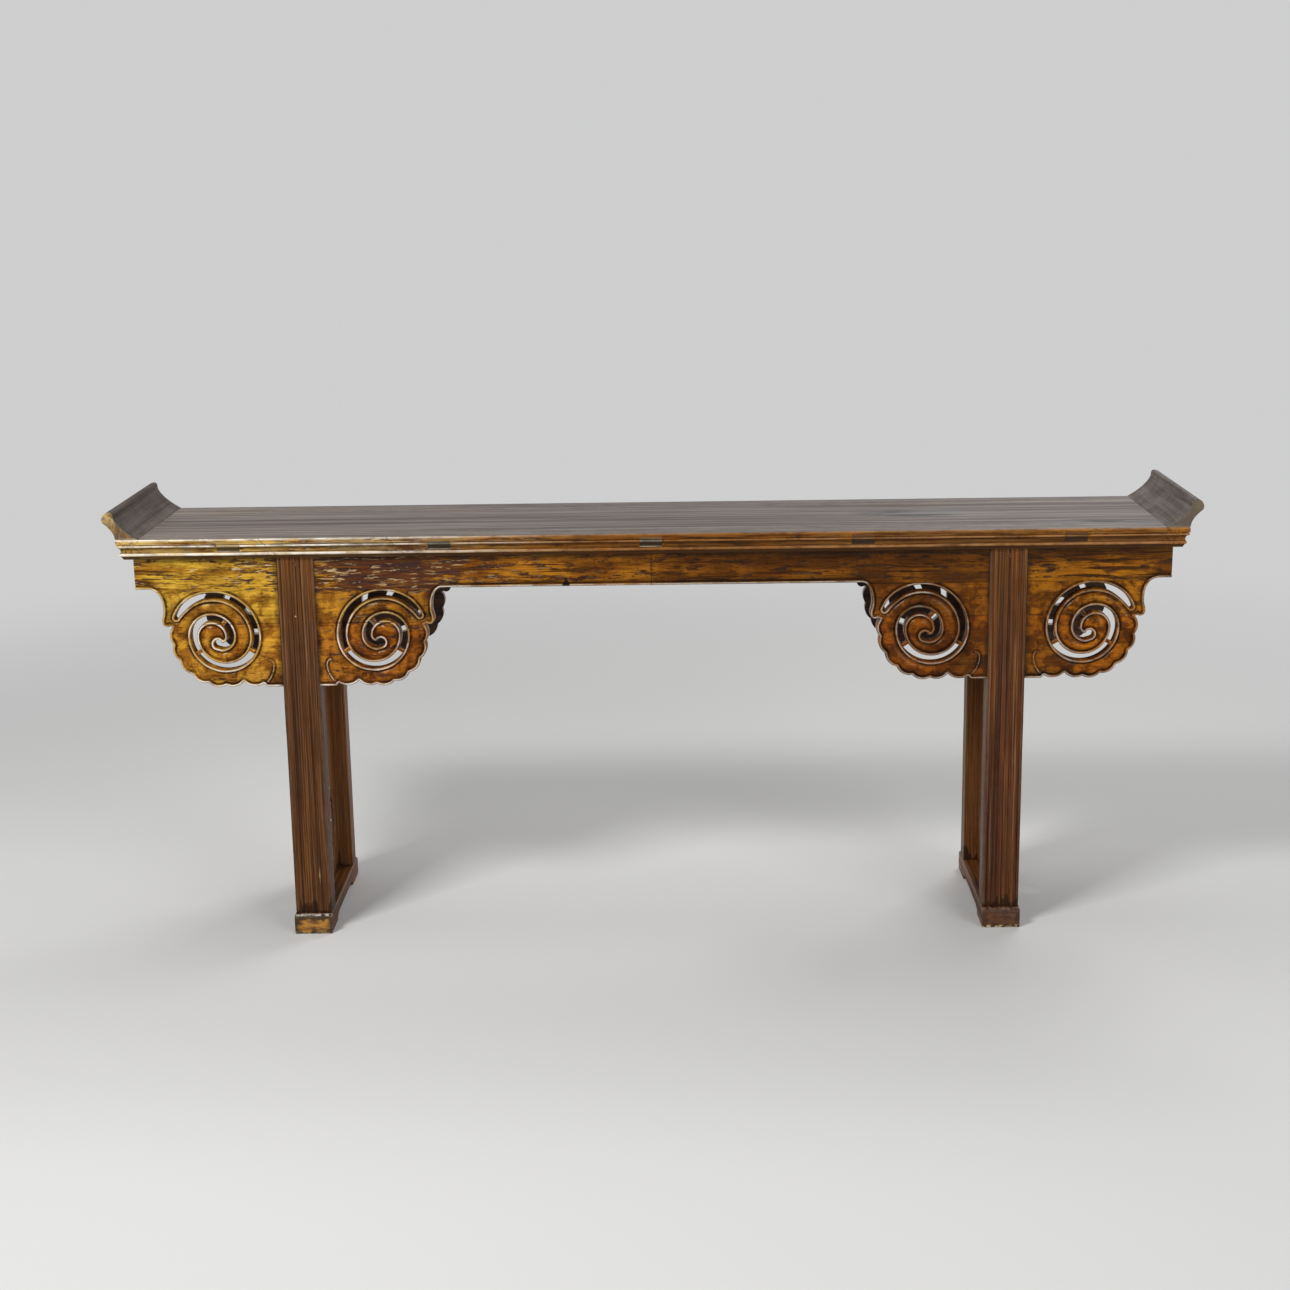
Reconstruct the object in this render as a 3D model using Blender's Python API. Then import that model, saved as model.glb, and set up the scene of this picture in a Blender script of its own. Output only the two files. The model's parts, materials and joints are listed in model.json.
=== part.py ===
"""Long recessed-leg table with everted flanges and pierced cloud spandrels, in metres, +Z up, front at -Y."""
import math

import bmesh
import bpy
from mathutils import Matrix

# Fits between pieces, how far a cutter runs past a face, and how deep a joined tenon is rooted
FIT = 0.0003
PAST = 0.010
ROOT = 0.004

# Top frame
TOP_HEIGHT = 0.860
TOP_DEPTH = 0.385
TOP_HALF_LENGTH = 1.094
RAIL_WIDTH = 0.075
END_WIDTH = 0.047
RAIL_TENON_LENGTH = 0.024
RAIL_TENON_WIDTH = 0.030
RAIL_TENON_HEIGHT = 0.014
RAIL_TENON_DROP = 0.004
RAIL_TENON_INSET = 0.006

# Edge moulding: heights of its members from the surface down, and their insets from the upper arris
BAND_HEIGHT = 0.0115
BEAD_HEIGHT = 0.0065
COVE_HEIGHT = 0.0115
FOOT_BEAD_HEIGHT = 0.0065
FOOT_HEIGHT = 0.0070
QUIRK = 0.0012
BEAD_INSET = 0.0020
COVE_INSET = 0.0070
FOOT_INSET = 0.0120

# Everted flange: its reach out from its foot on the surface, its rise, and its lip below the crest
FLANGE_RISE = 0.0575
FLANGE_REACH = 0.0725
FLANGE_LIP = 0.0240
FLANGE_CREST = 0.0060
FLANGE_EASE = 0.0035
FLANGE_SHOULDER_DROP = 0.0125
FLANGE_TIP_DROP = 0.0148
FLANGE_CHIN_DROP = 0.0225
FLANGE_CHIN_INSET = 0.0024
FLANGE_FOOT_RUN = 0.0400
FLANGE_FOOT_RISE = 0.0232
FLANGE_SCOOP = 0.0175

# Floating panel and its battens
PANEL_THICK = 0.018
TONGUE_TOP = 0.007
TONGUE_THICK = 0.007
TONGUE_REACH = 0.010
BATTEN_COUNT = 5
BATTEN_END_INSET = 0.182
BATTEN_WIDTH = 0.046
BATTEN_NECK = 0.040
BATTEN_RELIEF = 0.0015
BATTEN_TOP = 0.006
BATTEN_THICK = 0.036
BATTEN_TENON_HEIGHT = 0.022

# Aprons, hung from the top's underside
APRON_DEPTH = 0.0635
APRON_END_DEPTH = 0.0600
APRON_THICK = 0.022
APRON_SETBACK = 0.003
APRON_END_INSET = 0.029
APRON_STUB = 0.030
APRON_JOINT_TONGUE = 0.012
APRON_JOINT_THICK = 0.007
APRON_JOINT_MARGIN = 0.008
END_APRON_THICK = 0.016
END_APRON_INSET = 0.006
END_APRON_TONGUE = 0.008
END_APRON_CHEEK = 0.004

# Spiral slot: half turns about centres on one level line, from the leg's axis, and a tighter inner end
SPIRAL_NEAR = 0.090
SPIRAL_RADII = (0.0865, 0.0645, 0.0385, 0.0200)
SPIRAL_HEADROOM = 0.007
SPIRAL_START = 28.0
SPIRAL_CURL = 630.0
SPIRAL_CURL_RADIUS = 0.0105
SPIRAL_END = 695.0
BRIDGE_ANGLES = (210.0, 329.0, 491.0)
BRIDGE_WIDTH = 0.008
SLOT_WIDTH = 0.013

# Cloud spandrels: what the board leaves round its spiral, and the nose, lobes and lip of its edge
SPANDREL_DROP = 0.0035
SPANDREL_EASE = 0.016
SPANDREL_TONGUE = 0.008
SPANDREL_TONGUE_THICK = 0.0036
NOSE_MARGIN = 0.0065
NOSE_FLARE = 0.011
NOSE_RADIUS = 0.009
NOSE_DROP = 0.062
NOSE_SWEEP = -125.0
LOBE_MARGIN = 0.0115
LOBE_SHIFT = 0.017
LOBE_COUNT = 6
LOBE_FIRST = 12.0
LOBE_LAST = -112.0
LOBE_BULGE = 0.18
LIP_LENGTH = 0.034
LIP_DROP = 0.0035
LIP_NOTCH = 0.006

# Legs
LEG_WIDTH = 0.077
LEG_DEPTH = 0.052
LEG_SETBACK = 0.0185
LEG_CHEEK = 0.014
LEG_TENON_HEIGHT = 0.012
LEG_TENON_WIDTH = 0.046
LEG_TENON_THICK = 0.014
LEG_TENON_SETBACK = 0.004
FOOT_TENON_WIDTH = 0.044
FOOT_TENON_THICK = 0.024
REED_COUNT = 7
REED_MARGIN = 0.008
REED_GROOVE = 0.0026
REED_DEPTH = 0.0016

# Shoe feet
SHOE_TOE = 0.016
SHOE_SIDE = 0.0015
SHOE_HEIGHT = 0.042
SHOE_FLOOR = 0.016
SHOE_PAD = 0.080
SHOE_ARCH = 0.014
SHOE_ARCH_RUN = 0.030
SHOE_ROUND = 0.010

# Leg-frame cross rails and end panels
CROSS_DROP = 0.0085
CROSS_HEIGHT = 0.045
CROSS_THICK = 0.030
CROSS_TENON_LENGTH = 0.016
CROSS_TENON_THICK = 0.010
CROSS_SHOULDER = 0.0095
CROSS_WEB = 0.0025
END_PANEL_THICK = 0.016
END_PANEL_TONGUE = 0.007
END_PANEL_TONGUE_THICK = 0.007
END_PANEL_RIM = 0.010
END_PANEL_EASE = 0.002
END_SPIRAL_RATIO = 0.96
END_SPIRAL_INSET = 0.1287
END_ROSE_CHORD = 0.040
END_ROSE_BULGE = 0.42

# Locking pegs
PEG_RADIUS = 0.0045
PEG_DROP = 0.014
PEG_LENGTH = 0.036
PEG_PROUD = 0.001

# How finely curves are drawn, and the mesh limits
CURVE_STEPS = 6
ROUND_STEPS = 4
SMALL_STEPS = 2
SLOT_STEP = 15.0
PEG_SIDES = 16
WELD_DISTANCE = 0.00002
SMOOTH_ANGLE = math.radians(32.0)

# Values that follow from the sizes above
HALF_DEPTH = TOP_DEPTH / 2
RAIL_THICK = BAND_HEIGHT + BEAD_HEIGHT + COVE_HEIGHT + FOOT_BEAD_HEIGHT + FOOT_HEIGHT
TOP_UNDERSIDE = TOP_HEIGHT - RAIL_THICK
RAIL_INNER = HALF_DEPTH - RAIL_WIDTH
END_INNER = TOP_HALF_LENGTH - END_WIDTH
TONGUE_LOW = TOP_HEIGHT - TONGUE_TOP - TONGUE_THICK
LEG_FACE = HALF_DEPTH - LEG_SETBACK
LEG_BACK = LEG_FACE - LEG_DEPTH
SLOT_FRONT = LEG_FACE - LEG_CHEEK
APRON_FACE = LEG_FACE - APRON_SETBACK
APRON_BACK = APRON_FACE - APRON_THICK
APRON_TOP = TOP_UNDERSIDE - FIT
APRON_LOW = TOP_UNDERSIDE - APRON_DEPTH
APRON_END_LOW = TOP_UNDERSIDE - APRON_END_DEPTH
APRON_HALF_LENGTH = TOP_HALF_LENGTH - APRON_END_INSET
SPIRAL_CENTRE = SPIRAL_NEAR + SPIRAL_RADII[0]
SPIRAL_EDGE = SPIRAL_RADII[0] + SLOT_WIDTH / 2
SPANDREL_TOP = APRON_LOW - SPANDREL_DROP
SPIRAL_LEVEL = SPANDREL_TOP - SPIRAL_HEADROOM - SPIRAL_EDGE
NOSE_REACH = SPIRAL_CENTRE + SPIRAL_EDGE + NOSE_MARGIN
SPANDREL_HALF = NOSE_REACH + NOSE_FLARE
NOSE_HEIGHT = SPANDREL_TOP - NOSE_DROP
LOBE_CENTRE = SPIRAL_CENTRE - LOBE_SHIFT
LOBE_RADIUS = SPIRAL_EDGE + LOBE_MARGIN
LIP_HEIGHT = SPIRAL_LEVEL - LOBE_RADIUS - LIP_DROP
LEG_CENTRE = APRON_HALF_LENGTH - APRON_STUB - SPANDREL_EASE - SPANDREL_HALF
SHOE_HALF_LENGTH = LEG_FACE + SHOE_TOE
SHOE_WIDTH = LEG_WIDTH + 2 * SHOE_SIDE
CROSS_TOP = APRON_LOW - CROSS_DROP
CROSS_LOW = CROSS_TOP - CROSS_HEIGHT
PEG_HEIGHT = TOP_UNDERSIDE - PEG_DROP
COLLECTION_NAME = "scribe_table"


def clear_scene():
    for item in list(bpy.data.objects):
        bpy.data.objects.remove(item, do_unlink=True)


def new_collection(name):
    collection = bpy.data.collections.new(name)
    bpy.context.scene.collection.children.link(collection)
    return collection


def wood_material(name, colour, roughness):
    material = bpy.data.materials.new(name)
    material.use_nodes = True
    shader = material.node_tree.nodes["Principled BSDF"]
    shader.inputs["Base Color"].default_value = (*colour, 1.0)
    shader.inputs["Roughness"].default_value = roughness
    shader.inputs["Metallic"].default_value = 0.0
    return material


def mesh_from_bmesh(name, bm):
    bmesh.ops.recalc_face_normals(bm, faces=bm.faces)
    mesh = bpy.data.meshes.new(name)
    bm.to_mesh(mesh)
    bm.free()
    return mesh


def box_mesh(name, low, high):
    bm = bmesh.new()
    bmesh.ops.create_cube(bm, size=1.0)
    size = [b - a for a, b in zip(low, high)]
    middle = [(a + b) / 2 for a, b in zip(low, high)]
    bmesh.ops.scale(bm, vec=size, verts=bm.verts)
    bmesh.ops.translate(bm, vec=middle, verts=bm.verts)
    return mesh_from_bmesh(name, bm)


def prism_mesh(name, loops, axis, low, high):
    """Flat outline, with any holes, drawn as a 2D curve and given its thickness along one axis."""
    curve = bpy.data.curves.new(name, "CURVE")
    curve.dimensions = "2D"
    curve.fill_mode = "BOTH"
    curve.extrude = (high - low) / 2
    for loop in loops:
        spline = curve.splines.new("POLY")
        spline.points.add(len(loop) - 1)
        for point, (across, up) in zip(spline.points, loop):
            point.co = (across, up, 0.0, 1.0)
        spline.use_cyclic_u = True
    holder = bpy.data.objects.new(name, curve)
    bpy.context.scene.collection.objects.link(holder)
    bpy.context.view_layer.update()
    depsgraph = bpy.context.evaluated_depsgraph_get()
    mesh = bpy.data.meshes.new_from_object(holder.evaluated_get(depsgraph))
    bpy.data.objects.remove(holder, do_unlink=True)
    bpy.data.curves.remove(curve)
    turn = {
        "X": Matrix(((0, 0, 1, 0), (1, 0, 0, 0), (0, 1, 0, 0), (0, 0, 0, 1))),
        "Y": Matrix(((1, 0, 0, 0), (0, 0, -1, 0), (0, 1, 0, 0), (0, 0, 0, 1))),
        "Z": Matrix.Identity(4),
    }[axis]
    mesh.transform(turn)
    shift = [(low + high) / 2 if letter == axis else 0.0 for letter in "XYZ"]
    mesh.transform(Matrix.Translation(shift))
    bm = bmesh.new()
    bm.from_mesh(mesh)
    bmesh.ops.remove_doubles(bm, verts=bm.verts, dist=WELD_DISTANCE)
    bpy.data.meshes.remove(mesh)
    return mesh_from_bmesh(name, bm)


def cylinder_mesh(name, radius, low, high, sides):
    """Round bar along Y."""
    bm = bmesh.new()
    bmesh.ops.create_cone(bm, cap_ends=True, segments=sides, radius1=radius, radius2=radius, depth=high - low)
    bmesh.ops.rotate(bm, matrix=Matrix.Rotation(math.pi / 2, 3, "X"), verts=bm.verts)
    bmesh.ops.translate(bm, vec=(0.0, (low + high) / 2, 0.0), verts=bm.verts)
    return mesh_from_bmesh(name, bm)


def shifted(mesh, offset):
    mesh.transform(Matrix.Translation(offset))
    return mesh


class Workshop:
    """Holds the two collections and shapes meshes with Boolean modifiers."""

    def __init__(self):
        self.parts = new_collection(COLLECTION_NAME)
        self.cutters = new_collection(COLLECTION_NAME + "_cutters")
        self.root = bpy.data.objects.new(COLLECTION_NAME + "_root", None)
        self.parts.objects.link(self.root)

    def shaped(self, name, mesh, joined=(), cut=(), kept=()):
        """Mesh of a blank after its unions, cuts and intersections."""
        blank = bpy.data.objects.new(name + "_blank", mesh)
        self.cutters.objects.link(blank)
        blank.hide_render = True
        blank.display_type = "WIRE"
        for operation, tools in (("UNION", joined), ("DIFFERENCE", cut), ("INTERSECT", kept)):
            for tool_mesh in tools:
                tool = bpy.data.objects.new(tool_mesh.name, tool_mesh)
                self.cutters.objects.link(tool)
                tool.hide_render = True
                tool.display_type = "WIRE"
                modifier = blank.modifiers.new(operation.lower(), "BOOLEAN")
                modifier.operation = operation
                modifier.solver = "EXACT"
                modifier.object = tool
        bpy.context.view_layer.update()
        depsgraph = bpy.context.evaluated_depsgraph_get()
        result = bpy.data.meshes.new_from_object(blank.evaluated_get(depsgraph))
        result.name = name
        return result

    def place(self, name, mesh, material, location=(0.0, 0.0, 0.0), half_turn=False):
        part = bpy.data.objects.new(name, mesh)
        self.parts.objects.link(part)
        part.parent = self.root
        part.location = location
        part.rotation_euler = (0.0, 0.0, math.pi if half_turn else 0.0)
        if not mesh.materials:
            mesh.materials.append(material)
        mesh.shade_smooth()
        mesh.set_sharp_from_angle(angle=SMOOTH_ANGLE)
        return part


def bezier(start, pull, end, steps):
    """Points of a quadratic curve, without its first point."""
    points = []
    for step in range(1, steps + 1):
        t = step / steps
        points.append(tuple(
            (1 - t) ** 2 * a + 2 * t * (1 - t) * b + t ** 2 * c
            for a, b, c in zip(start, pull, end)
        ))
    return points


def bulged_arc(start, end, bulge, steps):
    """Round lobe from start to end that swells to the left of the chord, without its first point."""
    across = end[0] - start[0]
    along = end[1] - start[1]
    chord = math.hypot(across, along)
    height = bulge * chord
    radius = (chord ** 2 / 4 + height ** 2) / (2 * height)
    half = math.asin(chord / 2 / radius)
    normal = (-along / chord, across / chord)
    middle = ((start[0] + end[0]) / 2, (start[1] + end[1]) / 2)
    centre = (middle[0] + normal[0] * (height - radius), middle[1] + normal[1] * (height - radius))
    first = math.atan2(start[1] - centre[1], start[0] - centre[0])
    points = []
    for step in range(1, steps + 1):
        angle = first - 2 * half * step / steps
        points.append((centre[0] + radius * math.cos(angle), centre[1] + radius * math.sin(angle)))
    return points


def moulding():
    """Edge moulding from the upper arris down, as (inset, drop)."""
    band = BAND_HEIGHT
    bead = band + BEAD_HEIGHT
    cove = bead + COVE_HEIGHT
    foot_bead = cove + FOOT_BEAD_HEIGHT
    return [
        (0.0, 0.0),
        (0.0, band),
        (QUIRK, band + QUIRK),
        (BEAD_INSET - QUIRK, (band + bead) / 2),
        (BEAD_INSET + QUIRK, bead),
        (COVE_INSET, (bead + cove) / 2),
        (COVE_INSET, cove),
        (COVE_INSET - QUIRK, (cove + foot_bead) / 2),
        (COVE_INSET + QUIRK, foot_bead),
        (FOOT_INSET, RAIL_THICK),
    ]


def flange_points():
    """Everted flange from its foot over the lip to the upper arris, as (out, up)."""
    foot = (0.0, 0.0)
    shoulder = (FLANGE_REACH - FLANGE_LIP, FLANGE_RISE - FLANGE_SHOULDER_DROP)
    crest = (shoulder[0] + FLANGE_CREST, FLANGE_RISE)
    tip = (FLANGE_REACH, FLANGE_RISE - FLANGE_TIP_DROP)
    chin = (FLANGE_REACH - FLANGE_CHIN_INSET, FLANGE_RISE - FLANGE_CHIN_DROP)
    neck = (END_WIDTH, 0.0)
    points = [foot]
    points += bezier(foot, (FLANGE_FOOT_RUN, FLANGE_FOOT_RISE), shoulder, CURVE_STEPS)
    points += bezier(shoulder, (shoulder[0], FLANGE_RISE), crest, SMALL_STEPS)
    points += bezier(crest, (FLANGE_REACH - FLANGE_EASE, FLANGE_RISE), tip, ROUND_STEPS)
    points.append(chin)
    points += bezier(chin, (END_WIDTH, FLANGE_SCOOP), neck, CURVE_STEPS)
    return points


def top_rail(shop):
    """Front rail along X, with its moulding outside, panel groove inside, mortises and end tenons."""
    half = END_INNER - FIT
    profile = [(-HALF_DEPTH + inset, TOP_HEIGHT - drop) for inset, drop in moulding()]
    profile += [(-RAIL_INNER, TOP_UNDERSIDE), (-RAIL_INNER, TOP_HEIGHT)]
    blank = prism_mesh("rail_blank", [profile], "X", -half, half)
    groove_depth = TONGUE_REACH + FIT
    groove = box_mesh(
        "rail_groove",
        (-half - PAST, -RAIL_INNER - groove_depth, TONGUE_LOW - FIT),
        (half + PAST, -RAIL_INNER + PAST, TOP_HEIGHT - TONGUE_TOP + FIT),
    )
    cuts = [groove]
    tenon_top = TOP_HEIGHT - BATTEN_TOP
    for place in batten_places():
        cuts.append(box_mesh(
            "batten_mortise",
            (place - BATTEN_WIDTH / 2 - FIT, -HALF_DEPTH - PAST, tenon_top - BATTEN_TENON_HEIGHT - FIT),
            (place + BATTEN_WIDTH / 2 + FIT, -RAIL_INNER + PAST, tenon_top + FIT),
        ))
    for side in (-1, 1):
        cuts.append(box_mesh("leg_mortise", *leg_tenon_box(side * LEG_CENTRE, FIT)))
    tenons = [box_mesh("rail_tenon", *rail_tenon_box(side, 0.0)) for side in (-1, 1)]
    return shop.shaped("top_rail", shop.shaped("rail_cut", blank, cut=cuts), joined=tenons)


def batten_places():
    """Places of the battens along X, evenly from one end to the other."""
    last = END_INNER - BATTEN_END_INSET
    return [last * (2 * index / (BATTEN_COUNT - 1) - 1) for index in range(BATTEN_COUNT)]


def rail_tenon_box(side, slack):
    """Tenon of the front rail into an end member, below the panel groove."""
    top = TONGUE_LOW - RAIL_TENON_DROP
    back = -RAIL_INNER - TONGUE_REACH - RAIL_TENON_INSET
    near = END_INNER - PAST
    far = END_INNER + RAIL_TENON_LENGTH + slack
    low = (min(side * near, side * far), back - RAIL_TENON_WIDTH - slack, top - RAIL_TENON_HEIGHT - slack)
    high = (max(side * near, side * far), back + slack, top + slack)
    return low, high


def leg_tenon_box(centre, slack):
    """Tenon on a front leg's rear cheek, up into the rail."""
    front = -APRON_BACK + LEG_TENON_SETBACK
    low = (centre - LEG_TENON_WIDTH / 2 - slack, front - slack, TOP_UNDERSIDE - ROOT)
    high = (centre + LEG_TENON_WIDTH / 2 + slack, front + LEG_TENON_THICK + slack,
            TOP_UNDERSIDE + LEG_TENON_HEIGHT + slack)
    return low, high


def moulded_limits():
    """Section of the whole top across its depth, moulded at front and rear, as (depth, up)."""
    section = [(HALF_DEPTH - inset, TOP_HEIGHT - drop) for inset, drop in moulding()]
    section[-1] = (section[-1][0], TOP_UNDERSIDE - PAST)
    mirrored = [(-across, up) for across, up in reversed(section)]
    crown = TOP_HEIGHT + FLANGE_RISE + PAST
    return [(HALF_DEPTH, crown)] + section + mirrored + [(-HALF_DEPTH, crown)]


def top_end(shop):
    """Right end member carved in one with its flange; the moulding returns round its three outer sides."""
    outline = [(END_INNER + out, TOP_HEIGHT + up) for out, up in flange_points()]
    outline += [(TOP_HALF_LENGTH - inset, TOP_HEIGHT - drop) for inset, drop in moulding()[1:]]
    outline.append((END_INNER, TOP_UNDERSIDE))
    blank = prism_mesh("end_blank", [outline], "Y", -HALF_DEPTH - PAST, HALF_DEPTH + PAST)
    far = END_INNER + FLANGE_REACH + PAST
    returns = prism_mesh("end_returns", [moulded_limits()], "X", END_INNER - PAST, far)
    tongue_half = RAIL_INNER + TONGUE_REACH + FIT
    groove = box_mesh(
        "end_groove",
        (END_INNER - PAST, -tongue_half, TONGUE_LOW - FIT),
        (END_INNER + TONGUE_REACH + FIT, tongue_half, TOP_HEIGHT - TONGUE_TOP + FIT),
    )
    low, high = rail_tenon_box(1, FIT)
    mortises = [
        box_mesh("rail_mortise_front", low, high),
        box_mesh("rail_mortise_rear", (low[0], -high[1], low[2]), (high[0], -low[1], high[2])),
    ]
    carved = shop.shaped("end_carved", blank, kept=[returns])
    return shop.shaped("top_end", carved, cut=[groove] + mortises)


def batten_outline(slack):
    """Sliding-dovetail section of a batten, as (across, up)."""
    top = TOP_HEIGHT - BATTEN_TOP + slack
    neck = TOP_HEIGHT - PANEL_THICK - FIT
    half_top = BATTEN_WIDTH / 2 + slack
    half_neck = BATTEN_NECK / 2 + slack
    low = TOP_HEIGHT - BATTEN_TOP - BATTEN_THICK
    return [
        (-half_top, top), (-half_neck, neck), (-half_top, neck), (-half_top, low),
        (half_top, low), (half_top, neck), (half_neck, neck), (half_top, top),
    ]


def batten(shop):
    """One batten along Y; its narrow core carries a wider through-tenon, moulded flush, at each end."""
    reach = RAIL_INNER - FIT
    body = prism_mesh("batten_body", [batten_outline(0.0)], "Y", -reach, reach)
    top = TOP_HEIGHT - BATTEN_TOP
    base = top - BATTEN_TENON_HEIGHT
    half_core = BATTEN_NECK / 2 - BATTEN_RELIEF
    tip = HALF_DEPTH + PAST
    joined = [box_mesh("batten_core", (-half_core, -tip, base), (half_core, tip, top - BATTEN_RELIEF))]
    for near, far in ((-tip, -RAIL_INNER - FIT), (RAIL_INNER + FIT, tip)):
        joined.append(box_mesh("batten_tenon", (-BATTEN_WIDTH / 2, near, base), (BATTEN_WIDTH / 2, far, top)))
    limits = prism_mesh("batten_limits", [moulded_limits()], "X", -BATTEN_WIDTH, BATTEN_WIDTH)
    return shop.shaped("top_batten", body, joined=joined, kept=[limits])


def top_panel(shop):
    """Floating panel with a tongue all round and a dovetail groove for each batten."""
    half_length = END_INNER - FIT
    half_depth = RAIL_INNER - FIT
    body = box_mesh(
        "panel_body",
        (-half_length, -half_depth, TOP_HEIGHT - PANEL_THICK),
        (half_length, half_depth, TOP_HEIGHT),
    )
    tongue = box_mesh(
        "panel_tongue",
        (-END_INNER - TONGUE_REACH, -RAIL_INNER - TONGUE_REACH, TONGUE_LOW),
        (END_INNER + TONGUE_REACH, RAIL_INNER + TONGUE_REACH, TOP_HEIGHT - TONGUE_TOP),
    )
    grooves = []
    for place in batten_places():
        outline = [(place + across, up) for across, up in batten_outline(FIT)[:2]]
        low = TOP_HEIGHT - PANEL_THICK - PAST
        half_neck = BATTEN_NECK / 2 + FIT
        outline += [(place - half_neck, low), (place + half_neck, low)]
        outline += [(place + across, up) for across, up in batten_outline(FIT)[-2:]]
        grooves.append(prism_mesh("panel_groove", [outline], "Y", -HALF_DEPTH, HALF_DEPTH))
    ends = []
    for place in batten_places():
        for side in (-1, 1):
            inner = side * (RAIL_INNER - FIT)
            outer = side * (RAIL_INNER + TONGUE_REACH + PAST)
            ends.append(box_mesh(
                "panel_tongue_gap",
                (place - BATTEN_WIDTH / 2 - FIT, min(inner, outer), TOP_HEIGHT - PANEL_THICK - PAST),
                (place + BATTEN_WIDTH / 2 + FIT, max(inner, outer), TOP_HEIGHT - BATTEN_TOP + FIT),
            ))
    whole = shop.shaped("panel_whole", body, joined=[tongue])
    return shop.shaped("top_panel", whole, cut=grooves + ends)


def apron_blank(shop, has_tongue):
    """Front left apron: its lower edge drops to meet the spandrel, and it is notched for the leg's cheek."""
    wide = SPANDREL_HALF + SPANDREL_EASE
    left = -LEG_CENTRE - SPANDREL_HALF
    right = -LEG_CENTRE + SPANDREL_HALF
    inner_end = -FIT / 2
    outline = [
        (inner_end, APRON_TOP), (-APRON_HALF_LENGTH, APRON_TOP), (-APRON_HALF_LENGTH, APRON_END_LOW),
        (-LEG_CENTRE - wide, APRON_END_LOW), (left, SPANDREL_TOP), (right, SPANDREL_TOP),
        (-LEG_CENTRE + wide, APRON_LOW), (inner_end, APRON_LOW),
    ]
    blank = prism_mesh("apron_board", [outline], "Y", -APRON_FACE, -APRON_BACK)
    slot_half = SPANDREL_HALF - SPANDREL_EASE + FIT
    thin_middle = -(SLOT_FRONT + APRON_BACK) / 2
    cuts = [
        leg_notch(-LEG_CENTRE, SPANDREL_TOP - PAST, APRON_TOP + PAST),
        box_mesh(
            "spandrel_groove",
            (-LEG_CENTRE - slot_half, thin_middle - SPANDREL_TONGUE_THICK / 2 - FIT, SPANDREL_TOP - PAST),
            (-LEG_CENTRE + slot_half, thin_middle + SPANDREL_TONGUE_THICK / 2 + FIT,
             SPANDREL_TOP + SPANDREL_TONGUE + FIT),
        ),
        box_mesh("end_apron_groove", *end_apron_tongue_box(-1, FIT)),
        shifted(
            cylinder_mesh("peg_hole", PEG_RADIUS + FIT, -LEG_FACE - PAST, -APRON_BACK + PAST, PEG_SIDES),
            (-LEG_CENTRE, 0.0, PEG_HEIGHT),
        ),
    ]
    joint_middle = -(APRON_FACE + APRON_BACK) / 2
    slack = 0.0 if has_tongue else FIT
    joint = box_mesh(
        "apron_joint",
        (-PAST if has_tongue else -APRON_JOINT_TONGUE - FIT,
         joint_middle - APRON_JOINT_THICK / 2 - slack, APRON_LOW + APRON_JOINT_MARGIN - slack),
        (APRON_JOINT_TONGUE if has_tongue else PAST,
         joint_middle + APRON_JOINT_THICK / 2 + slack, APRON_TOP - APRON_JOINT_MARGIN + slack),
    )
    if has_tongue:
        return shop.shaped("apron_tongued", shop.shaped("apron_cut", blank, cut=cuts), joined=[joint])
    return shop.shaped("apron_grooved", blank, cut=cuts + [joint])


def leg_notch(centre, low, high):
    """Housing across the face of an apron or spandrel for a front leg's cheek."""
    return box_mesh(
        "leg_notch",
        (centre - LEG_WIDTH / 2 - FIT, -APRON_FACE - PAST, low),
        (centre + LEG_WIDTH / 2 + FIT, -SLOT_FRONT + FIT, high),
    )


def end_apron_tongue_box(side, slack):
    """Tongue of an end apron into the front apron."""
    outer = APRON_HALF_LENGTH - END_APRON_INSET
    ends = sorted((side * outer, side * (outer - END_APRON_THICK)))
    low = (ends[0] + END_APRON_CHEEK - slack, -APRON_BACK - END_APRON_TONGUE - slack,
           APRON_END_LOW + APRON_JOINT_MARGIN - slack)
    high = (ends[1] - END_APRON_CHEEK + slack, -APRON_BACK + PAST, APRON_TOP - APRON_JOINT_MARGIN + slack)
    return low, high


def end_apron(shop):
    """Right end apron between the front and rear aprons, tongued into both."""
    outer = APRON_HALF_LENGTH - END_APRON_INSET
    reach = APRON_BACK - FIT
    inner = outer - END_APRON_THICK
    body = box_mesh("end_apron_body", (inner, -reach, APRON_END_LOW), (outer, reach, APRON_TOP))
    low, high = end_apron_tongue_box(1, 0.0)
    tongue = box_mesh("end_apron_tongue", low, (high[0], -low[1], high[2]))
    return shop.shaped("apron_end", body, joined=[tongue])


def spiral_point(angle, level, near, ratio, offset):
    """Point of the spiral, offset outwards from its midline; half turns and curl have their own centres."""
    turn = min(int(angle // 180.0), len(SPIRAL_RADII) - 1)
    centre = near + SPIRAL_RADII[0] * ratio
    for index in range(1, turn + 1):
        change = (SPIRAL_RADII[index - 1] - SPIRAL_RADII[index]) * ratio
        centre += -change if index % 2 else change
    radius = SPIRAL_RADII[turn] * ratio
    height = level
    if angle > SPIRAL_CURL:
        height -= radius - SPIRAL_CURL_RADIUS * ratio
        radius = SPIRAL_CURL_RADIUS * ratio
    turned = math.radians(angle)
    return (centre + (radius + offset) * math.cos(turned), height + (radius + offset) * math.sin(turned))


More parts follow.
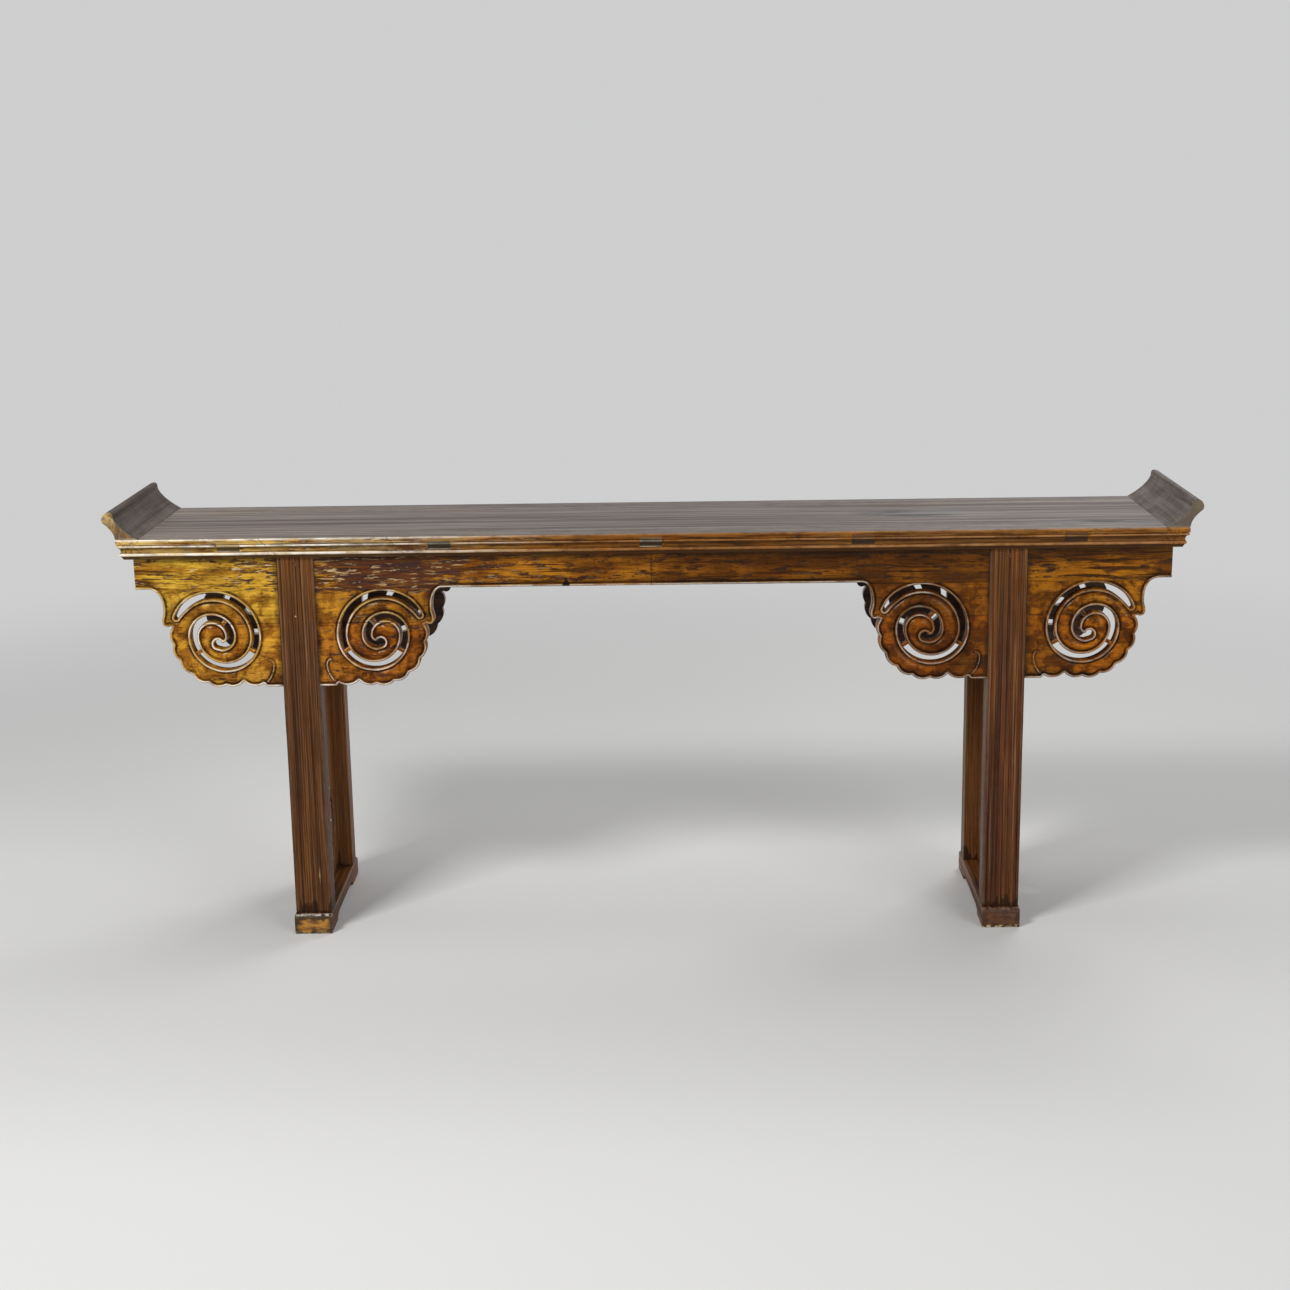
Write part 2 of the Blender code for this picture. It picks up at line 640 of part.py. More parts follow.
def spiral_slots(level, near, ratio=1.0):
    """Closed loops of the pierced spiral, parted by its bridges."""
    stops = [SPIRAL_START]
    for angle in BRIDGE_ANGLES:
        radius = SPIRAL_RADII[int(angle // 180.0)] * ratio
        half = math.degrees(BRIDGE_WIDTH / 2 / radius)
        stops += [angle - half, angle + half]
    stops.append(SPIRAL_END)
    loops = []
    for first, last in zip(stops[::2], stops[1::2]):
        steps = max(2, round((last - first) / SLOT_STEP))
        angles = [first + (last - first) * step / steps for step in range(steps + 1)]
        outer = [spiral_point(angle, level, near, ratio, SLOT_WIDTH / 2) for angle in angles]
        inner = [spiral_point(angle, level, near, ratio, -SLOT_WIDTH / 2) for angle in reversed(angles)]
        loops.append(outer + inner)
    return loops


def spandrel_half_outline():
    """Edge of the spandrel on +X, from the end of its top edge round the nose and lobes to the lip."""
    nose = (NOSE_REACH - NOSE_RADIUS, NOSE_HEIGHT)
    top = (SPANDREL_HALF, SPANDREL_TOP - FIT)
    points = [top]
    points += bezier(top, (NOSE_REACH, SPANDREL_TOP - SPANDREL_EASE), (NOSE_REACH, NOSE_HEIGHT), ROUND_STEPS)
    for step in range(1, ROUND_STEPS + 1):
        angle = math.radians(NOSE_SWEEP * step / ROUND_STEPS)
        points.append((nose[0] + NOSE_RADIUS * math.cos(angle), nose[1] + NOSE_RADIUS * math.sin(angle)))
    notches = []
    for index in range(LOBE_COUNT + 1):
        angle = math.radians(LOBE_FIRST + (LOBE_LAST - LOBE_FIRST) * index / LOBE_COUNT)
        notches.append((
            LOBE_CENTRE + LOBE_RADIUS * math.cos(angle),
            SPIRAL_LEVEL + LOBE_RADIUS * math.sin(angle),
        ))
    lip_end = LEG_WIDTH / 2 + LIP_LENGTH
    notches.append((lip_end + LIP_NOTCH, LIP_HEIGHT + LIP_NOTCH))
    points.append(notches[0])
    for start, end in zip(notches, notches[1:]):
        points += bulged_arc(start, end, LOBE_BULGE, ROUND_STEPS)
    points.append((lip_end, LIP_HEIGHT))
    return points


def spandrel(shop):
    """Front spandrel board about a leg's axis, with its tongue, leg housing and both spirals."""
    half = spandrel_half_outline()
    outline = half + [(-across, up) for across, up in reversed(half)]
    slots = spiral_slots(SPIRAL_LEVEL, SPIRAL_NEAR)
    mirrored = [[(-across, up) for across, up in reversed(loop)] for loop in slots]
    board = prism_mesh("spandrel_board", [outline] + slots + mirrored, "Y", -APRON_FACE, -APRON_BACK)
    thin_middle = -(SLOT_FRONT + APRON_BACK) / 2
    tongue_half = SPANDREL_HALF - SPANDREL_EASE
    tongue = box_mesh(
        "spandrel_tongue",
        (-tongue_half, thin_middle - SPANDREL_TONGUE_THICK / 2, SPANDREL_TOP - ROOT),
        (tongue_half, thin_middle + SPANDREL_TONGUE_THICK / 2, SPANDREL_TOP + SPANDREL_TONGUE),
    )
    tongued = shop.shaped("spandrel_tongued", board, joined=[tongue])
    notch = leg_notch(0.0, LIP_HEIGHT - PAST, SPANDREL_TOP + SPANDREL_TONGUE + PAST)
    return shop.shaped("spandrel", tongued, cut=[notch])


def leg_section():
    """Leg section with a reeded outer face, as (across, depth) with the face at -LEG_FACE."""
    half = LEG_WIDTH / 2
    points = [(-half, -LEG_BACK), (-half, -LEG_FACE)]
    field = LEG_WIDTH - 2 * REED_MARGIN
    for index in range(REED_COUNT):
        middle = -half + REED_MARGIN + field * index / (REED_COUNT - 1)
        points.append((middle - REED_GROOVE / 2, -LEG_FACE))
        points.append((middle, -LEG_FACE + REED_DEPTH))
        points.append((middle + REED_GROOVE / 2, -LEG_FACE))
    points += [(half, -LEG_FACE), (half, -LEG_BACK)]
    return points


def leg(shop):
    """Front leg about its own axis in X, with its bridle slot, tenons and groove for the end panel."""
    blank = prism_mesh("leg_blank", [leg_section()], "Z", SHOE_HEIGHT + FIT, APRON_TOP)
    slot = box_mesh(
        "leg_slot",
        (-LEG_WIDTH, -SLOT_FRONT, LIP_HEIGHT - FIT),
        (LEG_WIDTH, -APRON_BACK + FIT, TOP_UNDERSIDE + PAST),
    )
    low, high = cross_tenon_box(FIT)
    mortise = box_mesh("cross_mortise", low, (high[0], -LEG_BACK + PAST, high[2]))
    groove = box_mesh(
        "panel_groove",
        (-END_PANEL_TONGUE_THICK / 2 - FIT, -LEG_BACK - END_PANEL_TONGUE - FIT, SHOE_HEIGHT - PAST),
        (END_PANEL_TONGUE_THICK / 2 + FIT, -LEG_BACK + PAST, CROSS_LOW + END_PANEL_EASE),
    )
    hole_end = -LEG_FACE + PEG_LENGTH + FIT
    hole = shifted(
        cylinder_mesh("peg_hole", PEG_RADIUS + FIT, -LEG_FACE - PAST, hole_end, PEG_SIDES),
        (0.0, 0.0, PEG_HEIGHT),
    )
    body = shop.shaped("leg_cut", blank, cut=[slot, mortise, groove, hole])
    top_low, top_high = leg_tenon_box(0.0, 0.0)
    top_tenon = box_mesh("leg_top_tenon", top_low, top_high)
    foot_low, foot_high = foot_tenon_box(0.0)
    foot_tenon = box_mesh("leg_foot_tenon", foot_low, (foot_high[0], foot_high[1], SHOE_HEIGHT + ROOT))
    return shop.shaped("leg", body, joined=[top_tenon, foot_tenon])


def cross_tenon_box(slack):
    """Tenon of a cross rail into a front leg."""
    low = (-CROSS_TENON_THICK / 2 - slack, -LEG_BACK - CROSS_TENON_LENGTH - slack,
           CROSS_LOW + END_PANEL_TONGUE + CROSS_WEB - slack)
    high = (CROSS_TENON_THICK / 2 + slack, LEG_BACK + CROSS_TENON_LENGTH + slack,
            CROSS_TOP - CROSS_SHOULDER + slack)
    return low, high


def foot_tenon_box(slack):
    """Tenon of a front leg down into the shoe."""
    middle = -(LEG_FACE + LEG_BACK) / 2
    low = (-FOOT_TENON_WIDTH / 2 - slack, middle - FOOT_TENON_THICK / 2 - slack, SHOE_FLOOR - slack)
    high = (FOOT_TENON_WIDTH / 2 + slack, middle + FOOT_TENON_THICK / 2 + slack, SHOE_HEIGHT + PAST)
    return low, high


def shoe(shop):
    """Shoe foot along Y about its own axis, arched between its two pads."""
    pad_inner = SHOE_HALF_LENGTH - SHOE_PAD
    crest = pad_inner - SHOE_ARCH_RUN
    half = [(crest, SHOE_ARCH)]
    half += bezier((crest, SHOE_ARCH), (pad_inner, SHOE_ARCH), (pad_inner, 0.0), ROUND_STEPS)
    toe = (SHOE_HALF_LENGTH, SHOE_HEIGHT - SHOE_ROUND)
    half += [(SHOE_HALF_LENGTH, 0.0), toe]
    half += bezier(
        toe, (SHOE_HALF_LENGTH, SHOE_HEIGHT), (SHOE_HALF_LENGTH - SHOE_ROUND, SHOE_HEIGHT), ROUND_STEPS)
    outline = half + [(-across, up) for across, up in reversed(half)]
    blank = prism_mesh("shoe_blank", [outline], "X", -SHOE_WIDTH / 2, SHOE_WIDTH / 2)
    low, high = foot_tenon_box(FIT)
    mortises = [
        box_mesh("foot_mortise_front", low, high),
        box_mesh("foot_mortise_rear", (low[0], -high[1], low[2]), (high[0], -low[1], high[2])),
    ]
    groove = box_mesh(
        "shoe_groove",
        (-END_PANEL_TONGUE_THICK / 2 - FIT, -LEG_BACK - END_PANEL_TONGUE - FIT,
         SHOE_HEIGHT - END_PANEL_TONGUE - FIT),
        (END_PANEL_TONGUE_THICK / 2 + FIT, LEG_BACK + END_PANEL_TONGUE + FIT, SHOE_HEIGHT + PAST),
    )
    return shop.shaped("shoe", blank, cut=mortises + [groove])


def cross_rail(shop):
    """Upper cross rail along Y, tenoned into both legs and grooved below for the end panel."""
    reach = LEG_BACK - FIT
    body = box_mesh(
        "cross_body",
        (-CROSS_THICK / 2, -reach, CROSS_LOW),
        (CROSS_THICK / 2, reach, CROSS_TOP),
    )
    groove = box_mesh(
        "cross_groove",
        (-END_PANEL_TONGUE_THICK / 2 - FIT, -LEG_BACK - PAST, CROSS_LOW - PAST),
        (END_PANEL_TONGUE_THICK / 2 + FIT, LEG_BACK + PAST, CROSS_LOW + END_PANEL_TONGUE + FIT),
    )
    tenon = box_mesh("cross_tenon", *cross_tenon_box(0.0))
    return shop.shaped("cross_rail", shop.shaped("cross_cut", body, cut=[groove]), joined=[tenon])


def rose_loop(level):
    """Four-lobed opening in the middle of an end panel."""
    points = []
    half = END_ROSE_CHORD / 2
    corners = [(half, level + half), (half, level - half), (-half, level - half), (-half, level + half)]
    for start, end in zip(corners, corners[1:] + corners[:1]):
        points += bulged_arc(start, end, END_ROSE_BULGE, CURVE_STEPS)
    return points


def end_panel(shop):
    """Pierced panel between the legs, tongued into legs, cross rail and shoe."""
    low = SHOE_HEIGHT + FIT
    high = CROSS_LOW - FIT
    reach = LEG_BACK - FIT
    level = (low + high) / 2
    near = -SPIRAL_RADII[0] * END_SPIRAL_RATIO
    upper = spiral_slots(high - END_SPIRAL_INSET, near, END_SPIRAL_RATIO)
    lower = [[(-across, 2 * level - up) for across, up in loop] for loop in upper]
    outline = [(reach, low), (reach, high), (-reach, high), (-reach, low)]
    loops = [outline] + upper + lower + [rose_loop(level)]
    board = prism_mesh("panel_board", loops, "X", -END_PANEL_THICK / 2, END_PANEL_THICK / 2)
    tip = LEG_BACK + END_PANEL_TONGUE
    shoulder = reach - END_PANEL_EASE
    rim = [
        (tip, SHOE_HEIGHT - END_PANEL_TONGUE), (tip, CROSS_LOW - FIT),
        (shoulder, CROSS_LOW - FIT), (shoulder, CROSS_LOW + END_PANEL_TONGUE),
        (-shoulder, CROSS_LOW + END_PANEL_TONGUE), (-shoulder, CROSS_LOW - FIT),
        (-tip, CROSS_LOW - FIT), (-tip, SHOE_HEIGHT - END_PANEL_TONGUE),
    ]
    inside = reach - END_PANEL_RIM
    hollow = [
        (inside, low + END_PANEL_RIM), (inside, high - END_PANEL_RIM),
        (-inside, high - END_PANEL_RIM), (-inside, low + END_PANEL_RIM),
    ]
    half = END_PANEL_TONGUE_THICK / 2
    tongue = prism_mesh("panel_rim", [rim, hollow], "X", -half, half)
    return shop.shaped("end_panel", board, joined=[tongue])


def peg():
    """Round peg through the front cheek, apron and into the rear cheek of a front leg."""
    return cylinder_mesh("peg", PEG_RADIUS, -LEG_FACE - PEG_PROUD, -LEG_FACE + PEG_LENGTH, PEG_SIDES)


def build():
    clear_scene()
    shop = Workshop()
    surface = wood_material("worn_top", (0.16, 0.12, 0.10), 0.55)
    golden = wood_material("golden_lacquer", (0.36, 0.17, 0.04), 0.30)
    dark = wood_material("dark_leg", (0.12, 0.05, 0.025), 0.40)
    end_grain = wood_material("end_grain", (0.05, 0.045, 0.04), 0.60)

    rail = top_rail(shop)
    shop.place("top_front_rail", rail, golden)
    shop.place("top_rear_rail", rail, golden, half_turn=True)
    end = top_end(shop)
    shop.place("top_right_end", end, surface)
    shop.place("top_left_end", end, surface, half_turn=True)
    shop.place("top_panel", top_panel(shop), surface)
    bar = batten(shop)
    for number, place in enumerate(batten_places(), start=1):
        shop.place("top_batten_%d" % number, bar, end_grain, (place, 0.0, 0.0))

    tongued = apron_blank(shop, True)
    grooved = apron_blank(shop, False)
    grooved.transform(Matrix.Diagonal((-1.0, 1.0, 1.0, 1.0)))
    grooved.flip_normals()
    shop.place("apron_front_left", tongued, golden)
    shop.place("apron_front_right", grooved, golden)
    shop.place("apron_rear_right", tongued, golden, half_turn=True)
    shop.place("apron_rear_left", grooved, golden, half_turn=True)
    short_apron = end_apron(shop)
    shop.place("apron_right_end", short_apron, golden)
    shop.place("apron_left_end", short_apron, golden, half_turn=True)

    board = spandrel(shop)
    post = leg(shop)
    pin = peg()
    for side, side_name in ((-1, "left"), (1, "right")):
        for half_turn, row_name in ((False, "front"), (True, "rear")):
            corner = row_name + "_" + side_name
            axis = (side * LEG_CENTRE, 0.0, 0.0)
            shop.place("spandrel_" + corner, board, golden, axis, half_turn)
            shop.place("leg_" + corner, post, dark, axis, half_turn)
            shop.place("peg_" + corner, pin, dark, (axis[0], 0.0, PEG_HEIGHT), half_turn)

    foot = shoe(shop)
    tie = cross_rail(shop)
    screen = end_panel(shop)
    for side, side_name in ((-1, "left"), (1, "right")):
        axis = (side * LEG_CENTRE, 0.0, 0.0)
        shop.place("shoe_" + side_name, foot, dark, axis)
        shop.place("cross_rail_" + side_name, tie, dark, axis)
        shop.place("end_panel_" + side_name, screen, dark, axis)


build()
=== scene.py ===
import json
import math

import bmesh
import bpy
from mathutils import Matrix, Vector, noise
from mathutils.kdtree import KDTree

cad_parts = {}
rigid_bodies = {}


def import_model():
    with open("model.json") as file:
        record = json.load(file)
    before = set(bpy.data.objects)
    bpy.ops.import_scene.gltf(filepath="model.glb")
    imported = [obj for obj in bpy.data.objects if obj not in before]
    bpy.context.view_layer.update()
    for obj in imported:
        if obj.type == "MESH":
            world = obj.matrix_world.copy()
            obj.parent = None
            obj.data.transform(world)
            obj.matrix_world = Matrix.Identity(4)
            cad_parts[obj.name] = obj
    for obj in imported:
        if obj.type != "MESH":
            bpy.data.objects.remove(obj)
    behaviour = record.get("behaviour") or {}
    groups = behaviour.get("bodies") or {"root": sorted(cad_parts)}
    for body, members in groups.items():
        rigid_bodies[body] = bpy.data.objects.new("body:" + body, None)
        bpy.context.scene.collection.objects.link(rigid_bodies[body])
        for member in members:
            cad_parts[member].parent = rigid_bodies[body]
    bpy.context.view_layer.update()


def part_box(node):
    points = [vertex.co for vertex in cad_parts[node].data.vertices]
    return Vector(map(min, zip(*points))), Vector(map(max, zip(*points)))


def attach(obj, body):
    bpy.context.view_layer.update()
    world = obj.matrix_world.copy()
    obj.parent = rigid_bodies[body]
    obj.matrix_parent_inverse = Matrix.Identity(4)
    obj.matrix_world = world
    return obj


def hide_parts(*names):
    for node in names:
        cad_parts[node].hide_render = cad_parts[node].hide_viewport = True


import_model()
print("frame loaded")

scene = bpy.context.scene
scene.view_settings.view_transform = "Standard"
wearSeed = 1      # without it the hand-worn surfaces would differ from run to run
noise.seed_set(wearSeed)

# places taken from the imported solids
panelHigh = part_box("top_panel")[1]
endLow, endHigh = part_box("top_right_end")
legLow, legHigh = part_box("leg_front_right")
apronLow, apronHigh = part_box("apron_front_left")
endApronLow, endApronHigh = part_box("apron_right_end")
shoeLow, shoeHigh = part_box("shoe_right")
pegLow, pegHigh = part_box("peg_front_right")

fit = 0.0003
halfDepth = endHigh.y
topHeight = panelHigh.z
topUnderside = endLow.z
endInner = endLow.x
legCentre = (legLow.x + legHigh.x) / 2
legHalf = (legHigh.x - legLow.x) / 2
legFace = -legLow.y
legBack = -legHigh.y
apronFace = -apronLow.y
apronBack = -apronHigh.y
apronTop = apronHigh.z
apronEnd = -apronLow.x
shoeTop = shoeHigh.z
sides = {"left": -1, "right": 1}
corners = {"front_left": (-1, False), "front_right": (1, False),
           "rear_left": (-1, True), "rear_right": (1, True)}


# shader values that are added, multiplied and mixed like numbers
def plug(tree, source, socket):
    if isinstance(source, shaderValue):
        tree.links.new(source.socket, socket)
    elif socket.type == "RGBA":
        socket.default_value = (*source, 1.0)
    else:
        socket.default_value = source


def addNode(tree, kind, inputs, output, **options):
    node = tree.nodes.new("ShaderNode" + kind)
    for label, value in options.items():
        setattr(node, label, value)
    for label, value in inputs.items():
        plug(tree, value, node.inputs[label])
    return shaderValue(tree, node.outputs[output])


class shaderValue:
    def __init__(self, tree, socket):
        self.tree = tree
        self.socket = socket

    def maths(self, operation, first, second=0.0, clamp=False):
        return addNode(self.tree, "Math", {0: first, 1: second}, 0, operation=operation, use_clamp=clamp)

    def __add__(self, other):
        return self.maths("ADD", self, other)

    def __sub__(self, other):
        return self.maths("SUBTRACT", self, other)

    def __rsub__(self, other):
        return self.maths("SUBTRACT", other, self)

    def __mul__(self, other):
        return self.maths("MULTIPLY", self, other)

    def __truediv__(self, other):
        return self.maths("DIVIDE", self, other)

    def __abs__(self):
        return self.maths("ABSOLUTE", self)

    def __gt__(self, other):
        return self.maths("GREATER_THAN", self, other)

    def __lt__(self, other):
        return self.maths("LESS_THAN", self, other)

    def most(self, other):
        return self.maths("MAXIMUM", self, other)

    def root(self):
        return self.maths("SQRT", self)

    def span(self, low, high, outLow=0.0, outHigh=1.0, kind="SMOOTHSTEP"):
        inputs = {"Value": self, "From Min": low, "From Max": high, "To Min": outLow, "To Max": outHigh}
        return addNode(self.tree, "MapRange", inputs, "Result", interpolation_type=kind)

    def share(self, outLow, outHigh):      # a mask from 0 to 1 given other ends
        return self.span(0.0, 1.0, outLow, outHigh)

    def stops(self, rows):
        colour = addNode(self.tree, "ValToRGB", {"Fac": self}, "Color")
        band = colour.socket.node.color_ramp
        while len(band.elements) < len(rows):
            band.elements.new(0.5)
        for element, (place, tone) in zip(band.elements, rows):
            element.position = place
            element.color = (*tone, 1.0)
        return colour

    def between(self, first, second):      # this value is the share of the second colour
        return addNode(self.tree, "Mix", {0: self, 6: first, 7: second}, 2, data_type="RGBA")

    def tinted(self, tint, amount=1.0):
        inputs = {0: amount, 6: self, 7: tint}
        return addNode(self.tree, "Mix", inputs, 2, data_type="RGBA", blend_type="MULTIPLY")


def greys(*rows):
    return [(place, (level,) * 3) for place, level in rows]


# noise, stretched where the scale has three parts
def cloudValue(place, scale, detail, rough, warp=0.0, shift=0.0):
    if isinstance(scale, tuple) or isinstance(scale, shaderValue) and scale.socket.type == "VECTOR":
        inputs = {"Vector": place, "Scale": scale, "Location": (shift,) * 3}
        place = addNode(place.tree, "Mapping", inputs, "Vector")
        scale = 1.0
    inputs = {"Vector": place, "Scale": scale, "Detail": detail, "Roughness": rough, "Distortion": warp}
    return addNode(place.tree, "TexNoise", inputs, "Fac")


def newGroup(name, takes, gives):
    group = bpy.data.node_groups.new(name, "ShaderNodeTree")
    group.interface.new_socket("Vector", in_out="INPUT", socket_type="NodeSocketVector")
    for label, value in takes.items():
        kind = "NodeSocketVector" if isinstance(value, tuple) else "NodeSocketFloat"
        group.interface.new_socket(label, in_out="INPUT", socket_type=kind).default_value = value
    for label in gives:
        group.interface.new_socket(label, in_out="OUTPUT", socket_type="NodeSocketFloat")
    given = {socket.name: shaderValue(group, socket) for socket in group.nodes.new("NodeGroupInput").outputs}
    return group, given, group.nodes.new("NodeGroupOutput").inputs


def makeGrainGroup():
    takes = {"Fibre": (20.0, 400.0, 400.0), "Streak": (3.0, 60.0, 60.0)}
    group, given, out = newGroup("wood grain", takes, ["Fibre", "Streak", "Height"])
    fibre = cloudValue(given["Vector"], given["Fibre"], 5.0, 0.62).span(0.32, 0.68)
    streak = cloudValue(given["Vector"], given["Streak"], 4.0, 0.6, 0.5).span(0.34, 0.66)
    plug(group, fibre, out["Fibre"])
    plug(group, streak, out["Streak"])
    plug(group, fibre * 0.5 + streak * 0.5, out["Height"])
    return group


def makePatchGroup():
    takes = {"Stretch": (4.0, 20.0, 20.0), "Share": 0.5, "Soft": 0.06}
    group, given, out = newGroup("rubbed patches", takes, ["Mask"])
    cloud = cloudValue(given["Vector"], given["Stretch"], 8.0, 0.66, 0.3)
    level = 0.72 - given["Share"] * 0.44
    plug(group, cloud.span(level - given["Soft"], level + given["Soft"]), out["Mask"])
    return group


def makeEdgeGroup():
    # relief above zero marks crests: pale as worn wood and as a painted highlight; below zero marks hollows:
    # dark as grime and as painted shade
    group, given, out = newGroup("edge wear and dirt", {"Relief": 0.0, "Scale": 22.0}, ["Wear", "Dirt"])
    patchy = cloudValue(given["Vector"], given["Scale"], 6.0, 0.7).span(0.34, 0.60, 0.30, 1.0)
    relief = given["Relief"]
    dirtAndShade = (relief * -1.0).most(0.0)
    plug(group, relief.maths("MULTIPLY", relief.most(0.0), patchy, True), out["Wear"])
    plug(group, relief.maths("MULTIPLY", dirtAndShade, 0.95, True), out["Dirt"])
    return group


grainGroup = makeGrainGroup()
patchGroup = makePatchGroup()
edgeGroup = makeEdgeGroup()


class woodFinish:
    def __init__(self, name, swap=(0, 0)):      # swap: two axes of the patterns that change places
        self.material = bpy.data.materials.new(name)
        self.material.use_nodes = True
        self.tree = self.material.node_tree
        self.swap = swap
        self.place = addNode(self.tree, "TexCoord", {}, "Object")

    def turned(self, stretch):
        first, second = self.swap
        moved = list(stretch)
        moved[first], moved[second] = stretch[second], stretch[first]
        return tuple(moved)

    def axes(self):
        return [addNode(self.tree, "SeparateXYZ", {0: self.place}, axis) for axis in "XYZ"]

    def cloud(self, scale, detail, rough, warp=0.0, shift=0.0):
        return cloudValue(self.place, scale, detail, rough, warp, shift)

    def group(self, group, **values):
        holder = self.tree.nodes.new("ShaderNodeGroup")
        holder.node_tree = group
        for label, value in {"Vector": self.place, **values}.items():
            plug(self.tree, value, holder.inputs[label])
        return {socket.name: shaderValue(self.tree, socket) for socket in holder.outputs}

    def grain(self, wood):
        return self.group(grainGroup, Fibre=self.turned(wood["fibre"]), Streak=self.turned(wood["streak"]))

    def patches(self, stretch, share, soft):
        return self.group(patchGroup, Stretch=stretch, Share=share, Soft=soft)["Mask"]

    def edges(self, scale=22.0):
        relief = addNode(self.tree, "Attribute", {}, "Fac", attribute_name="relief")
        return self.group(edgeGroup, Relief=relief, Scale=scale)

    def done(self, colour, rough, height, depth, strength, more):      # bump, then the shader's own sockets
        inputs = {"Distance": depth, "Strength": strength, "Height": height}
        bump = addNode(self.tree, "Bump", inputs, "Normal")
        sockets = {"Base Color": colour, "Roughness": rough, "Normal": bump, **more}
        for label, value in sockets.items():
            plug(self.tree, value, self.tree.nodes["Principled BSDF"].inputs[label])
        return self.material


lacquer = {      # colour stops run from the left end of the table to the right; the lighter gilt left end is partly the lacquer's own tone and partly painted light falling from the left
    "bright": [(0.0, (0.74, 0.46, 0.046)), (0.15, (0.68, 0.38, 0.034)), (0.19, (0.57, 0.255, 0.020)),
               (0.30, (0.47, 0.190, 0.013)), (0.50, (0.36, 0.132, 0.008)), (0.575, (0.225, 0.072, 0.0045)),
               (0.80, (0.190, 0.062, 0.004)), (0.90, (0.43, 0.155, 0.006)), (1.0, (0.43, 0.160, 0.006))],
    "middle": [(0.0, (0.38, 0.178, 0.014)), (0.15, (0.32, 0.135, 0.010)), (0.19, (0.23, 0.080, 0.006)),
               (0.30, (0.205, 0.067, 0.0045)), (0.50, (0.175, 0.055, 0.0035)), (0.575, (0.105, 0.030, 0.002)),
               (0.80, (0.086, 0.025, 0.0018)), (0.90, (0.145, 0.044, 0.0024)), (1.0, (0.150, 0.046, 0.0026))],
    "dark": [(0.0, (0.088, 0.027, 0.0045)), (0.15, (0.072, 0.021, 0.0040)), (0.19, (0.052, 0.0135, 0.0024)),
             (0.30, (0.050, 0.013, 0.002)), (0.50, (0.048, 0.0125, 0.0018)), (0.575, (0.032, 0.0088, 0.0013)),
             (0.80, (0.027, 0.0082, 0.0013)), (0.90, (0.038, 0.0105, 0.0015)),
             (1.0, (0.040, 0.0115, 0.0016))],
    "gold": greys((0.0, 1.0), (0.20, 0.94), (0.34, 0.45), (0.45, 0.07), (1.0, 0.05)),
    "plumShare": greys((0.0, 0.34), (0.10, 0.38), (0.17, 0.50), (0.20, 0.56), (0.24, 0.92), (0.28, 0.84),
                       (0.34, 0.46), (0.50, 0.32), (0.72, 0.38), (1.0, 0.36)),
    "plum": [(0.0, (0.050, 0.024, 0.022)), (0.32, (0.048, 0.021, 0.018)), (0.45, (0.030, 0.011, 0.005)),
             (1.0, (0.026, 0.010, 0.0045))],      # old dark layers
    "russet": [(0.0, (0.105, 0.034, 0.012)), (0.32, (0.110, 0.034, 0.012)), (0.45, (0.056, 0.017, 0.004)),
               (1.0, (0.048, 0.015, 0.004))],
    "pale": (0.99, 0.95, 0.85),      # crests: bare wood and painted highlight, and those that are still gilt or brown
    "brass": (0.60, 0.43, 0.17),
    "railTan": (0.41, 0.180, 0.050),
    "boardTan": (0.30, 0.215, 0.130),
    "boardGlint": (0.66, 0.60, 0.50),
    "cream": (0.70, 0.50, 0.24),
    "rubbedLeft": (0.76, 0.55, 0.20),      # rubbed faces of the rails
    "rubbedRight": (0.30, 0.115, 0.022),
    "outerLift": (1.10, 1.08, 1.00),      # tints of the boards' outer and inner halves, lobes and middle rail
    "innerLift": (1.42, 1.38, 1.25),
    "leftLobes": (0.80, 0.80, 1.10),
    "rightLobes": (0.46, 0.55, 1.10),
    "midRail": (0.82, 0.72, 0.50),
    "runTint": (0.34, 0.22, 0.25),      # tints of runs, stains, shadows, lower boards and spirals, and the painted shade on the upper edge
    "stainTint": (0.42, 0.33, 0.34),
    "shadowTint": (0.55, 0.50, 0.60),
    "lowerTint": (1.04, 0.84, 0.70),
    "scrollTint": (0.70, 0.52, 0.40),
    "upperShadeTint": (0.46, 0.40, 0.55),
    "recess": (0.046, 0.016, 0.0045),
    "grime": (0.009, 0.0048, 0.0030),
    "fibre": (16.0, 420.0, 420.0),
    "streak": (9.0, 150.0, 150.0),
    "scratch": (20.0, 330.0, 330.0),
    "fleck": (34.0, 230.0, 230.0),
    "broad": (6.0, 23.0, 23.0),
    "drift": (3.5, 11.0, 11.0),
    "mottle": (30.0, 38.0, 38.0),
    "speckle": (85.0, 260.0, 260.0),
    "stain": (50.0, 50.0, 11.0),
    "plumPatches": (24.0, 86.0, 86.0),
    "shadows": (9.0, 9.0, 9.0),
    "boardTop": (0.738, 0.752),      # heights where the carved boards give way to the apron
    "liftTop": (0.7450, 0.7465),
    "shadedUpperEdge": (0.800, 0.826),
    "lobeTop": (0.600, 0.660),
    # heights where the painted floor reflection on the lower rims fades out
    "lowerRimReflection": (0.560, 0.612),
    "apronRimHighlight": (0.7470, 0.7520, 0.7550),      # foot of the apron's rim, and where its painted highlight fades
    "glueLine": 0.677,      # height of the joint across the spandrels
    "glueSoft": 0.0006,
    "seam": (0.0005, 0.0014),      # half width of a seam, and where its dirt ends
    "scroll": (0.1765, 0.650),      # middle of a spiral: from the leg's axis, and height
    "scarfs": [(-0.795, 0.8528), (-0.533, 0.8526)],      # slanting joints in the front rail
    "chip": (-0.1755, 0.7485, 0.0105, 0.0225),      # foot, half width and height of the apron's lost corner, painted near-black as the shade in its notch
    "roughness": (0.15, 0.30),
    "shine": {"Specular IOR Level": 0.12, "Specular Tint": (1.0, 0.72, 0.34), "Coat Weight": 0.10,
              "Coat Roughness": 0.13},
}


